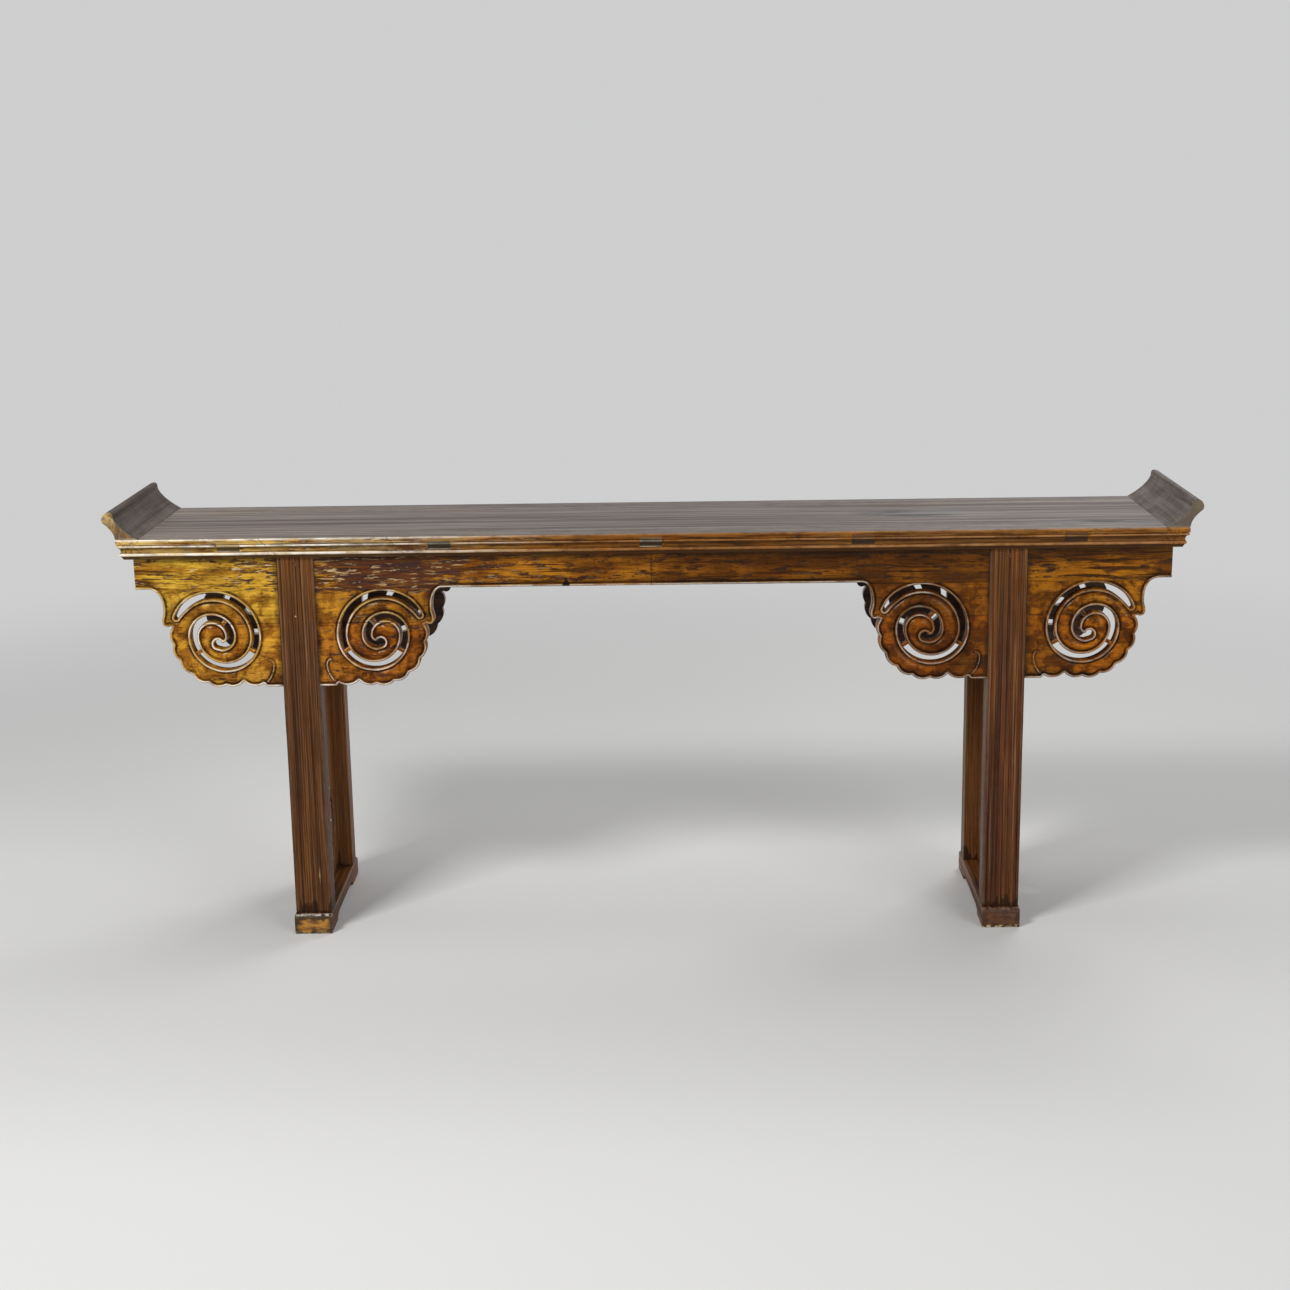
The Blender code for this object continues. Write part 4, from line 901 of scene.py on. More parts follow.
def cornerPlace(side, isRear, across=0.0):
    turn = Matrix.Rotation(math.pi, 4, "Z") if isRear else Matrix.Identity(4)
    return Matrix.Translation((side * across, 0.0, 0.0)) @ turn


def setTurned(pairs, mesh, finishes, pick=None):      # a piece, and its twin turned about the middle
    for (name, node), isRear in zip(pairs, (False, True)):
        setPiece(name, mesh, finishes, [node], cornerPlace(0, isRear), pick=pick)


def setSides(name, node, mesh, finishes, pick=None):      # one at each leg frame
    for label, side in sides.items():
        place = cornerPlace(side, False, legCentre)
        setPiece(name + label, mesh, finishes, [node + label], place, pick=pick)


def setCorners(name, node, mesh, finishes, lift=0.0, pick=None):      # one at each leg
    for label, (side, isRear) in corners.items():
        place = Matrix.Translation((0.0, 0.0, lift)) @ cornerPlace(side, isRear, legCentre)
        setPiece(name + label, mesh, finishes, [node + label], place, pick=pick)


def outsideOrIn(face):      # lacquer outside; the face towards the table's middle is raw wood, painted near-black as the shade under the table
    return 1 if face.normal.y * math.copysign(1.0, face.center.y) < -0.5 else 0


boardCarving = {
    "edge": (-0.0018, -0.5),      # height and relief at the very edge
    "rings": [(0.0008, 0.0006, 0.3), (0.0011, 0.0022, 1.0), (0.0013, 0.0021, 1.0), (0.0008, 0.0, -0.6),
              (0.0008, -0.0022, -1.0), (0.0012, -0.0020, -1.0),
              (0.0010, -0.0006, -0.5)],      # width, height, relief
    "fieldRun": 0.0062,      # how fast height and wear settle beyond the rings
    "wornRun": 0.0022,
    "grid": 0.0032,
    "spot": 0.0004,      # spacing of the points that stand for an edge
    "past": 0.010,      # spare wood beyond a joint, sawn off after the carving
    "wear": 0.00022,
    "wearScale": 45.0,
    "line": [(0.0, 0.0014, 0.5), (0.0010, 0.0011, 0.4), (0.0018, -0.0004, -0.7), (0.0026, -0.0015, -1.0),
             (0.0042, -0.0013, -1.0), (0.0062, 0.0, 0.0)],      # distance, height and relief of a raised line
    "lineReach": 0.0075,
    "lineCell": 0.0007,
    "lineZone": 0.0085,      # where the cells are made finer, in so many rounds
    "lineRounds": 4,
    "lineStart": 0.0035,      # least distance of a raised line from a beaded edge
}


def edgeFinder(lines):      # finds how far a point is from the nearest beaded edge
    spots = []
    for line in lines:
        for start, end in zip(line, line[1:]):
            count = max(1, int(math.dist(start, end) / boardCarving["spot"]))
            spots += [[a + (b - a) * step / count for a, b in zip(start, end)] for step in range(count + 1)]
    tree = KDTree(len(spots))
    for index, (across, up) in enumerate(spots):
        tree.insert((across, 0.0, up), index)
    tree.balance()
    return lambda co: tree.find((co.x, 0.0, co.z))[2]


def beadAt(away, field, wide):      # height and relief at a distance from the edge
    height, worn = boardCarving["edge"]
    for thin, nextHeight, nextWorn in boardCarving["rings"]:
        width = thin * wide
        if away < width:
            share = away / width
            return height + (nextHeight - height) * share, worn + (nextWorn - worn) * share
        away -= width
        height, worn = nextHeight, nextWorn
    fade = math.exp(-away / boardCarving["fieldRun"])
    return height * fade + field * (1.0 - fade), worn * math.exp(-away / boardCarving["wornRun"])


def lineAt(away):      # the same for a raised line across the field
    rows = boardCarving["line"]
    for (near, low, wornLow), (far, high, wornHigh) in zip(rows, rows[1:]):
        if away < far:
            share = (away - near) / (far - near)
            return low + (high - low) * share, wornLow + (wornHigh - wornLow) * share
    return 0.0, 0.0


def bandField(shape, out):      # swelling of a spiral's band at a distance from its middle
    low, high = shape["bandEdge"]
    share = min(1.0, max(0.0, (out - low) / (high - low)))
    return shape["bandSwell"] + (shape["fieldSwell"] - shape["bandSwell"]) * share


def carveBoard(outline, slots, beads, front, back, fieldHeight, bothFaces=False, grid=None, raised=None,
               wide=1.0):
    bm, relief = newShape()
    distanceTo = edgeFinder(beads)
    for loop in [outline] + slots:
        verts = [bm.verts.new((across, front, up)) for across, up in loop]
        for first, second in zip(verts, verts[1:] + verts[:1]):
            bm.edges.new((first, second))
    bmesh.ops.triangle_fill(bm, use_beauty=True, use_dissolve=False, edges=bm.edges[:],
                            normal=(0.0, -1.0, 0.0))
    drawOut(bm, bm.faces[:], (0.0, back - front, 0.0))
    bmesh.ops.recalc_face_normals(bm, faces=bm.faces)
    for depth, out in [(front, -1.0)] + ([(back, 1.0)] if bothFaces else []):
        region = {face for face in bm.faces if all(abs(vert.co.y - depth) < hair for vert in face.verts)}
        for ring in boardCarving["rings"]:
            bmesh.ops.inset_region(bm, faces=list(region), thickness=ring[0] * wide, depth=0.0,
                                   use_boundary=True, use_even_offset=True)
        if grid:
            region = sliceRegion(bm, region, grid)
        lineTo = edgeFinder([raised]) if raised else None
        for turn in range(boardCarving["lineRounds"] if raised else 0):      # finer cells along the line
            near = [edge for edge in bm.edges if edge.calc_length() > boardCarving["lineCell"]
                    and all(abs(v.co.y - depth) < hair and lineTo(v.co) < boardCarving["lineZone"]
                            for v in edge.verts)]
            bmesh.ops.subdivide_edges(bm, edges=near, cuts=1, use_grid_fill=True)
        for vert in bm.verts:
            if abs(vert.co.y - depth) < hair:
                away = distanceTo(vert.co)
                height, worn = beadAt(away, fieldHeight(vert.co), wide)
                onLine = raised and lineTo(vert.co) < boardCarving["lineReach"]
                if onLine and away > boardCarving["lineStart"] * wide:
                    rise, lineWorn = lineAt(lineTo(vert.co))
                    height = min(height, rise) if rise < 0.0 else max(height, rise)
                    worn = lineWorn if abs(lineWorn) > abs(worn) else worn
                vert[relief] = worn
                vert.co.y += out * height
    bmesh.ops.recalc_face_normals(bm, faces=bm.faces)
    return bm


def sawOff(bm, spot, outward):      # cut square at a joint and closed again
    cut = slicePlane(bm, spot, outward, clear_outer=True)
    bmesh.ops.holes_fill(bm, edges=onlyOf(cut["geom_cut"], bmesh.types.BMEdge), sides=0)


def sliceRegion(bm, region, grid):      # even cells across the field
    verts = {vert for face in region for vert in face.verts}
    for axis, normal in ((0, (1.0, 0.0, 0.0)), (2, (0.0, 0.0, 1.0))):
        low = min(vert.co[axis] for vert in verts)
        high = max(vert.co[axis] for vert in verts)
        count = int((high - low) / grid)
        for index in range(1, count):
            spot = [0.0, 0.0, 0.0]
            spot[axis] = low + (high - low) * index / count
            near = {face for face in region if min(v.co[axis] for v in face.verts) < spot[axis]
                    and max(v.co[axis] for v in face.verts) > spot[axis]}
            geometry = list(near)
            geometry += list({edge for face in near for edge in face.edges})
            geometry += list({vert for face in near for vert in face.verts})
            cut = bmesh.ops.bisect_plane(bm, geom=geometry, dist=hair, plane_co=spot, plane_no=normal)
            region |= set(onlyOf(cut["geom"], bmesh.types.BMFace))
    return region


spiral = {
    "near": 0.090,      # slot's outer reach from the leg's axis
    "radii": (0.0865, 0.0645, 0.0385, 0.0200),
    "start": 28.0,
    "taper": 26.0,      # run of the narrowing start
    "end": 630.0,
    "slotWidth": 0.013,
    "eye": (-0.0070, -0.0155, 0.0085),      # round inner end: place from the first centre, and radius
    "eyeArc": (-64.0, 152.0),
    "bridges": (210.0, 329.0, 491.0),
    "bridgeWidth": 0.0078,
    "bridgeSink": 0.0038,
    "bridgeRoot": 0.003,      # how much longer a tie is than the slot is wide
    "bridgeRound": 0.0014,
    "stepLength": 0.0030,
}


def spiralPoint(angle, level, near, ratio, offset):
    turn = min(int(angle // 180.0), len(spiral["radii"]) - 1)
    centre = near + spiral["radii"][0] * ratio
    for index in range(1, turn + 1):
        change = (spiral["radii"][index - 1] - spiral["radii"][index]) * ratio
        centre += -change if index % 2 else change
    return arcPoint((centre, level), spiral["radii"][turn] * ratio + offset, math.radians(angle))


def spiralSlot(level, near, ratio=1.0):      # closed edge of the pierced spiral
    half = spiral["slotWidth"] / 2
    first, last = spiral["start"], spiral["end"]
    angles = [first]
    while angles[-1] < last:
        radius = spiral["radii"][min(int(angles[-1] // 180.0), 3)] * ratio
        angles.append(min(last, angles[-1] + math.degrees(spiral["stepLength"] / radius)))

    def widthAt(angle):
        share = min(1.0, (angle - first) / spiral["taper"])
        return half * (0.55 + 0.45 * math.sin(share * math.pi / 2))
    outer = [spiralPoint(angle, level, near, ratio, widthAt(angle)) for angle in angles]
    inner = [spiralPoint(angle, level, near, ratio, -widthAt(angle)) for angle in reversed(angles)]
    middle = near + spiral["radii"][0] * ratio
    across, up, size = [value * ratio for value in spiral["eye"]]
    low, high = spiral["eyeArc"]
    turns = [math.radians(low + (high - low) * step / 14) for step in range(15)]
    eye = [arcPoint((middle + across, level + up), size, turn) for turn in turns]
    tip = spiralPoint(first, level, near, ratio, 0.0)
    out = math.radians(first)
    turns = [out + math.pi + math.pi * step / 6 for step in range(1, 6)]
    cap = [arcPoint(tip, widthAt(first), turn) for turn in turns]      # rounded start of the slot
    return outer + eye + inner + cap


def addTies(bm, level, near, ratio, front, back, turned=1.0, centre=0.0):      # sunk ties across the slot
    low = front + spiral["bridgeSink"]
    high = back - spiral["bridgeSink"]
    for angle in spiral["bridges"]:
        across, up = spiralPoint(angle, level, near, ratio, 0.0)
        tie = newShape()[0]
        addCube(tie, (spiral["slotWidth"] + spiral["bridgeRoot"], high - low, spiral["bridgeWidth"]))
        softenEdges(tie, tie.edges[:], spiral["bridgeRound"], 3, 0.6)
        turnShape(tie, -math.radians(angle), "Y")
        bmesh.ops.translate(tie, verts=tie.verts, vec=(across, (low + high) / 2, up))
        if turned < 0.0:
            turnShape(tie, math.pi, "Y", (0.0, 0.0, centre))
        addTo(bm, tie)


# edge moulding of the top, from the upper arris down: inset, drop, relief
moulding = [
    (0.0034, 0.0000, 0.2), (0.0014, 0.0005, 0.8), (0.0004, 0.0015, 1.0), (0.0000, 0.0030, 0.5),
    (0.0000, 0.0060, 0.0), (0.0000, 0.0092, 0.0), (0.0005, 0.0108, 0.4), (0.0014, 0.0116, -0.2),
    (0.0028, 0.0122, -1.0), (0.0026, 0.0127, -0.8), (0.0014, 0.0133, 0.6), (0.0007, 0.0141, 1.0),
    (0.0006, 0.0150, 1.0), (0.0010, 0.0161, 1.0), (0.0021, 0.0171, 0.6), (0.0042, 0.0180, -0.8),
    (0.0062, 0.0196, -0.7), (0.0075, 0.0218, -0.45), (0.0080, 0.0245, -0.35), (0.0078, 0.0275, -0.6),
    (0.0071, 0.0291, -0.9), (0.0060, 0.0301, 0.6), (0.0054, 0.0314, 1.0), (0.0053, 0.0329, 1.0),
    (0.0058, 0.0345, 0.9), (0.0071, 0.0357, 0.1), (0.0087, 0.0364, -1.0), (0.0096, 0.0385, -1.0),
    (0.0108, 0.0410, -1.0), (0.0122, 0.0430, -1.0),
]

topRail = {
    "stretch": 0.030,      # spacing of the cuts along the rail
    "wear": 0.00035,
    "wearScale": 14.0,
    "wearDepth": 0.013,      # only the moulding is worn, not its ends
    "innerFace": 0.075,      # rail width
    "arris": 0.0006,
    "battenHalf": 0.023,
    "tenonTop": 0.006,
    "tenonHeight": 0.022,
}


def makeTopRails():
    shape = topRail
    inner = -halfDepth + shape["innerFace"]
    arris = shape["arris"]
    section = [(-halfDepth + inset, topHeight - drop, worn) for inset, drop, worn in moulding]
    section += [(inner, topUnderside, 0.0), (inner, topHeight - arris, 0.0), (inner - arris, topHeight, 0.3)]
    reach = endInner - fit
    bm = drawnBar(section, "X", -reach, reach, shape["stretch"])
    still = [lambda co: co.y > -halfDepth + shape["wearDepth"], lambda co: abs(co.x) > reach - 0.001]
    handWorn(bm, shape["wear"], shape["wearScale"], still)
    for vert in bm.verts:      # worn surface never stands outside the solid
        vert.co.y = max(vert.co.y, -halfDepth)
        vert.co.z = min(vert.co.z, topHeight)
    boxes = []
    for number in range(1, 6):
        low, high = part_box("top_batten_%d" % number)
        middle = (low.x + high.x) / 2
        high = topHeight - shape["tenonTop"] + fit
        boxes.append(((middle - shape["battenHalf"] - fit, -1.0, high - shape["tenonHeight"] - 2 * fit),
                      (middle + shape["battenHalf"] + fit, inner + 0.01, high)))
    mesh = cutAway(asMesh("rail", bm), boxes)

    def pickFinish(face):      # the upper face is worn grey like the panel
        return 1 if face.normal.z > 0.8 and face.center.z > topHeight - 0.0009 else 0
    pairs = [("rail_front", "top_front_rail"), ("rail_rear", "top_rear_rail")]
    setTurned(pairs, mesh, [goldenLacquer, topSurface], pickFinish)


flangeEnd = {
    "width": 0.047,
    "rise": 0.0575,
    "reach": 0.0725,
    "lip": 0.0240,
    "crest": 0.0060,
    "ease": 0.0035,
    "shoulderDrop": 0.0125,
    "tipDrop": 0.0148,
    "chinDrop": 0.0225,
    "chinInset": 0.0024,
    "footPull": (0.0400, 0.0232),
    "scoop": 0.0175,
    "edgeRound": 0.0034,
    "roundFrom": 0.004,      # height above the surface where the ends' rounding begins
    "stretch": 0.020,
}


def flangeOutline():
    shape = flangeEnd
    width, rise, reach = shape["width"], shape["rise"], shape["reach"]
    shoulder = (reach - shape["lip"], rise - shape["shoulderDrop"])
    crest = (shoulder[0] + shape["crest"], rise)
    tip = (reach, rise - shape["tipDrop"])
    chin = (reach - shape["chinInset"], rise - shape["chinDrop"])
    points = [(0.0, 0.0)]
    points += curvePoints((0.0, 0.0), shape["footPull"], shoulder, 16)
    points += curvePoints(shoulder, (shoulder[0], rise), crest, 6)
    points += curvePoints(crest, (reach - shape["ease"], rise), tip, 12)
    points += curvePoints(tip, (reach, (tip[1] + chin[1]) / 2), chin, 3)
    points += curvePoints(chin, (width, shape["scoop"]), (width, 0.0), 14)
    return points[:-1]


def makeTopEnds():
    section = [(endInner + out, topHeight + up, 0.0) for out, up in flangeOutline()]
    edge = endInner + flangeEnd["width"]
    section += [(edge - inset, topHeight - drop, worn) for inset, drop, worn in moulding[1:]]
    section.append((endInner, topUnderside, 0.0))
    bm = drawnBar(section, "Y", -halfDepth, halfDepth, flangeEnd["stretch"])
    relief = bm.verts.layers.float["relief"]
    for row in moulding[1:-1]:      # the moulding returns across both ends
        slicePlane(bm, (0.0, 0.0, topHeight - row[1]), (0.0, 0.0, 1.0), 2 * hair)
    for vert in bm.verts:
        if abs(abs(vert.co.y) - halfDepth) < 1e-5 and vert.co.z < topHeight - 1e-5:
            inset, drop, worn = min(moulding, key=lambda row: abs(topHeight - row[1] - vert.co.z))
            vert.co.y = math.copysign(halfDepth - inset, vert.co.y)
            vert[relief] = worn
    caps = [edge for edge in sharpEdges(bm) if all(abs(abs(v.co.y) - halfDepth) < 1e-5 for v in edge.verts)
            and all(v.co.z > topHeight + flangeEnd["roundFrom"] for v in edge.verts)]
    softenEdges(bm, caps, flangeEnd["edgeRound"], 4)
    bmesh.ops.recalc_face_normals(bm, faces=bm.faces)

    def pickFinish(face):
        if abs(face.normal.y) > 0.35 and face.center.z > topHeight:
            return 1
        return 2 if face.center.z < topHeight else 0
    pairs = [("end_right", "top_right_end"), ("end_left", "top_left_end")]
    finishes = [flangeSurface, flangeEndGrain, goldenShort]
    setTurned(pairs, asMesh("flange", bm), finishes, pickFinish)


makeTopRails()
makeTopEnds()
print("top frame made")


spandrelShape = {
    "top": 0.7465,
    "half": 0.2931,
    "ease": 0.0100,
    "waist": (0.2788, 0.7067),
    "noseReach": 0.2826,
    "noseHeight": 0.682,
    "noseRadius": 0.0103,
    "noseSweep": -125.0,
    "nosePull": 0.0055,      # roundness of the edge between waist and nose
    "spiralLevel": 0.650,
    "lobeCentre": 0.1595,
    "lobeRadius": 0.1045,
    "lobeCount": 6,
    "lobeFirst": 12.0,
    "lobeLast": -112.0,
    "lobeBulge": 0.18,
    "lipLength": 0.034,
    "lipHeight": 0.542,
    "lipNotch": 0.006,
    "lipFoot": 0.012,
    "bandSwell": 0.0046,      # rounding of the spiral's band
    "fieldSwell": 0.0006,
    "bandEdge": (0.080, 0.092),      # where the rounding fades, from the spiral's middle
    "hook": [(0.0790, 0.5470), (0.0640, 0.5540), (0.0570, 0.5760), (0.0520, 0.5980), (0.0640, 0.5990)],
    "housing": 0.011,      # depth of the leg's housing in the boards
    "beadWide": 1.3,      # broader bead than on the end panels
    "wornDepth": 0.004,      # how far behind the face the boards are uneven
}


def spandrelHalf():
    shape = spandrelShape
    top = (shape["half"], shape["top"])
    nose = (shape["noseReach"], shape["noseHeight"])
    spare = boardCarving["past"]
    waist = shape["waist"]
    lean = (shape["half"] - waist[0]) / shape["ease"]
    points = [(shape["half"] + lean * spare, shape["top"] + spare), top]
    points += curvePoints(top, (waist[0], shape["top"] - shape["ease"]), waist, 16)
    swell = ((waist[0] + nose[0]) / 2, (waist[1] + nose[1]) / 2)      # out again from the waist to the nose
    points += curvePoints(waist, (waist[0], swell[1] + shape["nosePull"]), swell, 6)
    points += curvePoints(swell, (nose[0], swell[1] - shape["nosePull"]), nose, 6)
    centre = (nose[0] - shape["noseRadius"], nose[1])
    turns = [math.radians(shape["noseSweep"] * step / 9) for step in range(1, 10)]
    points += [arcPoint(centre, shape["noseRadius"], turn) for turn in turns]
    middle = (shape["lobeCentre"], shape["spiralLevel"])
    first, last, count = shape["lobeFirst"], shape["lobeLast"], shape["lobeCount"]
    turns = [math.radians(first + (last - first) * (index / count)) for index in range(count + 1)]
    notches = [arcPoint(middle, shape["lobeRadius"], turn) for turn in turns]
    lipEnd = legHalf + shape["lipLength"]
    notches.append((lipEnd + shape["lipNotch"], shape["lipHeight"] + shape["lipNotch"]))
    points.append(notches[0])
    for start, end in zip(notches, notches[1:]):
        points += lobePoints(start, end, shape["lobeBulge"], 12)
    points.append((lipEnd, shape["lipHeight"]))
    return points


def makeSpandrels():
    shape = spandrelShape
    root = legHalf + fit
    spare = boardCarving["past"]
    level, lip = shape["spiralLevel"], shape["lipHeight"]
    edge = spandrelHalf() + [(root + shape["lipFoot"], lip), (root - spare, lip)]
    outline = edge + [(root - spare, shape["top"] + spare)]
    slot = spiralSlot(level, spiral["near"])
    spiralMiddle = spiral["near"] + spiral["radii"][0]
    hook = shape["hook"][:1]
    for start, pull, end in zip(shape["hook"][::2], shape["hook"][1::2], shape["hook"][2::2]):
        hook += curvePoints(start, pull, end, 12)

    def fieldHeight(co):
        return bandField(shape, math.hypot(co.x - spiralMiddle, co.z - level))
    bm = carveBoard(outline, [slot], [edge, slot + slot[:1]], -apronFace, -apronBack, fieldHeight,
                    grid=boardCarving["grid"], raised=hook, wide=shape["beadWide"])
    sawOff(bm, (0.0, 0.0, shape["top"] - fit), (0.0, 0.0, 1.0))
    sawOff(bm, (root, 0.0, 0.0), (-1.0, 0.0, 0.0))
    still = [lambda co: co.z > shape["top"] - 0.001, lambda co: co.x < root + 0.0005,
             lambda co: co.y > -apronFace + shape["wornDepth"]]
    handWorn(bm, boardCarving["wear"], boardCarving["wearScale"], still)
    addTies(bm, level, spiral["near"], 1.0, -apronFace, -apronBack)
    mirrored = bm.copy()
    bmesh.ops.scale(mirrored, verts=mirrored.verts, vec=(-1.0, 1.0, 1.0))
    bmesh.ops.reverse_faces(mirrored, faces=mirrored.faces)
    addTo(bm, mirrored)
    web = bmesh.new()      # thin tongue through the leg's slot
    thick = apronFace - apronBack - shape["housing"]
    addCube(web, (2 * root, thick, shape["top"] - lip - fit),
            (0.0, -apronBack - thick / 2, (shape["top"] + lip - fit) / 2))
    addTo(bm, web)
    setCorners("cloud_", "spandrel_", asMesh("spandrel", bm), [goldenLacquer, innerShadeFinish],
               pick=outsideOrIn)


makeSpandrels()
print("cloud spandrels made")


apronShape = {
    "low": 0.7485,
    "endLow": 0.7515,
    "run": 2.1,      # length of the easing towards a spandrel, for its drop
    "spacing": 0.008,
    "grid": 0.012,
    "swell": 0.0005,
    "wear": 0.0003,
    "wearScale": 16.0,
}


def runPoints(start, end, spacing):      # evenly spaced points without the first
    count = max(1, round(math.dist(start, end) / spacing))
    return [tuple(a + (b - a) * step / count for a, b in zip(start, end)) for step in range(1, count + 1)]


def makeAprons():
    shape = apronShape
    board = spandrelShape
    spare = boardCarving["past"]
    narrow, joined = board["half"], board["top"]
    lean = (narrow - board["waist"][0]) / board["ease"]
    edges = []
    for side, level in ((-1, shape["endLow"]), (1, shape["low"])):      # outer and inner side of the leg
        bend = narrow + lean * (level - joined)
        wide = bend + shape["run"] * (level - joined)
        far = apronEnd - legCentre + spare if side < 0 else legCentre + spare
        edge = [(far, level)] + runPoints((far, level), (wide, level), shape["spacing"])
        edge += curvePoints((wide, level), (bend, level), (narrow, joined), 8)
        edge.append((narrow - lean * spare, joined - spare))
        edges.append([(-legCentre + side * across, up) for across, up in edge])
    outline = edges[0] + edges[1][::-1] + [(spare, apronTop + spare), (-apronEnd - spare, apronTop + spare)]
    bm = carveBoard(outline, [], edges, -apronFace, -apronBack, lambda co: shape["swell"], grid=shape["grid"],
                    wide=board["beadWide"])
    sawOff(bm, (0.0, 0.0, apronTop), (0.0, 0.0, 1.0))
    sawOff(bm, (0.0, 0.0, joined), (0.0, 0.0, -1.0))
    sawOff(bm, (0.0, 0.0, 0.0), (1.0, 0.0, 0.0))
    sawOff(bm, (-apronEnd, 0.0, 0.0), (-1.0, 0.0, 0.0))
    still = [lambda co: co.z > apronTop - 0.001, lambda co: co.z < joined + 0.0005, lambda co: co.x > -0.001,
             lambda co: co.x < -apronEnd + 0.0005, lambda co: co.y > -apronFace + board["wornDepth"]]
    handWorn(bm, shape["wear"], shape["wearScale"], still)
    housing = ((-legCentre - legHalf - fit, -1.0, 0.0),
               (-legCentre + legHalf + fit, -apronFace + board["housing"] + fit, 1.0))
    mesh = cutAway(asMesh("apron", bm), [housing])
    other = mesh.copy()
    other.transform(Matrix.Diagonal((-1.0, 1.0, 1.0, 1.0)))
    other.flip_normals()
    boards = [("front_left", mesh, False), ("front_right", other, False),
              ("rear_right", mesh, True), ("rear_left", other, True)]
    for label, board, isRear in boards:
        setPiece("apron_board_" + label, board, [goldenLacquer, innerShadeFinish],
                 ["apron_" + label], cornerPlace(0, isRear), pick=outsideOrIn)


shortApron = {"bead": 0.0045, "stretch": 0.05}


def makeShortAprons():
    out = endApronHigh.x
    inner = endApronLow.x
    bottom = apronShape["endLow"]
    bead = shortApron["bead"]
    section = [
        (inner, apronTop, 0.0), (inner, bottom + 0.001, 0.3), (inner + 0.001, bottom, 0.3),
        (out - 0.0010, bottom, 0.4), (out - 0.0002, bottom + bead * 0.25, 0.9),
        (out, bottom + bead * 0.5, 1.0), (out - 0.0003, bottom + bead * 0.8, 0.6),
        (out - 0.0012, bottom + bead, -1.0), (out - 0.0012, bottom + bead * 1.15, -0.8),
        (out - 0.0003, bottom + bead * 1.4, 0.0), (out, apronTop, 0.0),
    ]
    reach = apronBack - fit
    mesh = asMesh("short apron", drawnBar(section, "Y", -reach, reach, shortApron["stretch"]))
    pairs = [("apron_short_right", "apron_right_end"), ("apron_short_left", "apron_left_end")]
    setTurned(pairs, mesh, [goldenShort])


makeAprons()
makeShortAprons()
print("aprons made")


legShape = {
    "margin": 0.008,
    "grooves": 7,
    "grooveDepth": 0.0007,
    "edgeRound": 0.0050,
    "backRound": 0.0022,
    "quirk": [(0.0022, 0.0002, 0.2), (0.0008, 0.0009, -0.2)],      # before the first groove, depth, relief
    "stretch": 0.024,
    "lift": 0.0004,
    "wearScale": 9.0,
    "slotFront": 0.160,
}


def legSection():
    shape = legShape
    side = legHalf
    face = -legFace
    grooves = [-side + shape["margin"] + (2 * side - 2 * shape["margin"]) * index / (shape["grooves"] - 1)
               for index in range(shape["grooves"])]
    edge = shape["edgeRound"]
    points = [(-side + shape["backRound"], -legBack, 0.2), (-side, -legBack - shape["backRound"], 0.2),
              (-side, face + edge * 1.6, 0.1)]
    for step in range(1, 6):      # rounded outer edge up to the face
        angle = math.radians(18.0 * step)
        across = -side + edge * (1 - math.cos(angle))
        points.append((across, face + edge * (1 - math.sin(angle)), 0.9 - 0.12 * step))
    points += [(grooves[0] - before, face + depth, worn) for before, depth, worn in shape["quirk"]]
    for first, last in zip(grooves, grooves[1:]):
        for step in range(9):
            t = step / 8 * 2 - 1
            worn = -1.0 if step in (0, 8) else (0.35 if abs(t) > 0.6 else 0.1)
            if step < 8 or last == grooves[-1]:
                points.append((first + (last - first) * step / 8, face + shape["grooveDepth"] * t ** 4, worn))
    return points + [(-across, depth, worn) for across, depth, worn in reversed(points[:10])]


def makeLegs():
    bm = drawnBar(legSection(), "Z", shoeTop + fit, apronTop, legShape["stretch"])
    handWorn(bm, legShape["lift"], legShape["wearScale"], [lambda co: co.z > apronTop - 0.001])
    for vert in bm.verts:
        vert.co.y = max(vert.co.y, -legFace)
    slot = ((-1.0, -legShape["slotFront"], spandrelShape["lipHeight"] - fit), (1.0, -apronBack + fit, 1.0))
    setCorners("reeded_leg_", "leg_", cutAway(asMesh("leg", bm), [slot]), [darkLeg])


shoeShape = {
    "pad": 0.080,
    "arch": 0.014,
    "archRun": 0.030,
    "round": 0.010,
    "edge": 0.0028,
    "stretch": 0.2,
    "toe": 0.004,      # depth of the end grain at the toes
}


def makeShoes():
    shape = shoeShape
    reach = shoeHigh.y
    padInner = reach - shape["pad"]
    crest = (padInner - shape["archRun"], shape["arch"])
    toe = (reach, shoeTop - shape["round"])
    half = [crest]
    half += curvePoints(crest, (padInner, shape["arch"]), (padInner, 0.0), 8)
    half += [(reach, 0.0), toe]
    half += curvePoints(toe, (reach, shoeTop), (reach - shape["round"], shoeTop), 6)
    outline = half + [(-across, up) for across, up in reversed(half)]
    width = (shoeHigh.x - shoeLow.x) / 2
    bm = drawnBar([(across, up, 0.0) for across, up in outline], "X", -width, width, shape["stretch"])
    flanks = [edge for edge in sharpEdges(bm) if all(abs(abs(v.co.x) - width) < hair for v in edge.verts)]
    softenEdges(bm, flanks, shape["edge"], 4)
    bmesh.ops.recalc_face_normals(bm, faces=bm.faces)

    def pickFinish(face):
        return 1 if abs(face.normal.y) > 0.75 and abs(face.center.y) > reach - shape["toe"] else 0
    setSides("foot_", "shoe_", asMesh("shoe", bm), [darkShort, toeEnds], pickFinish)


crossShape = {"low": 0.700, "top": 0.745, "half": 0.015, "round": 0.0035, "stretch": 0.05}


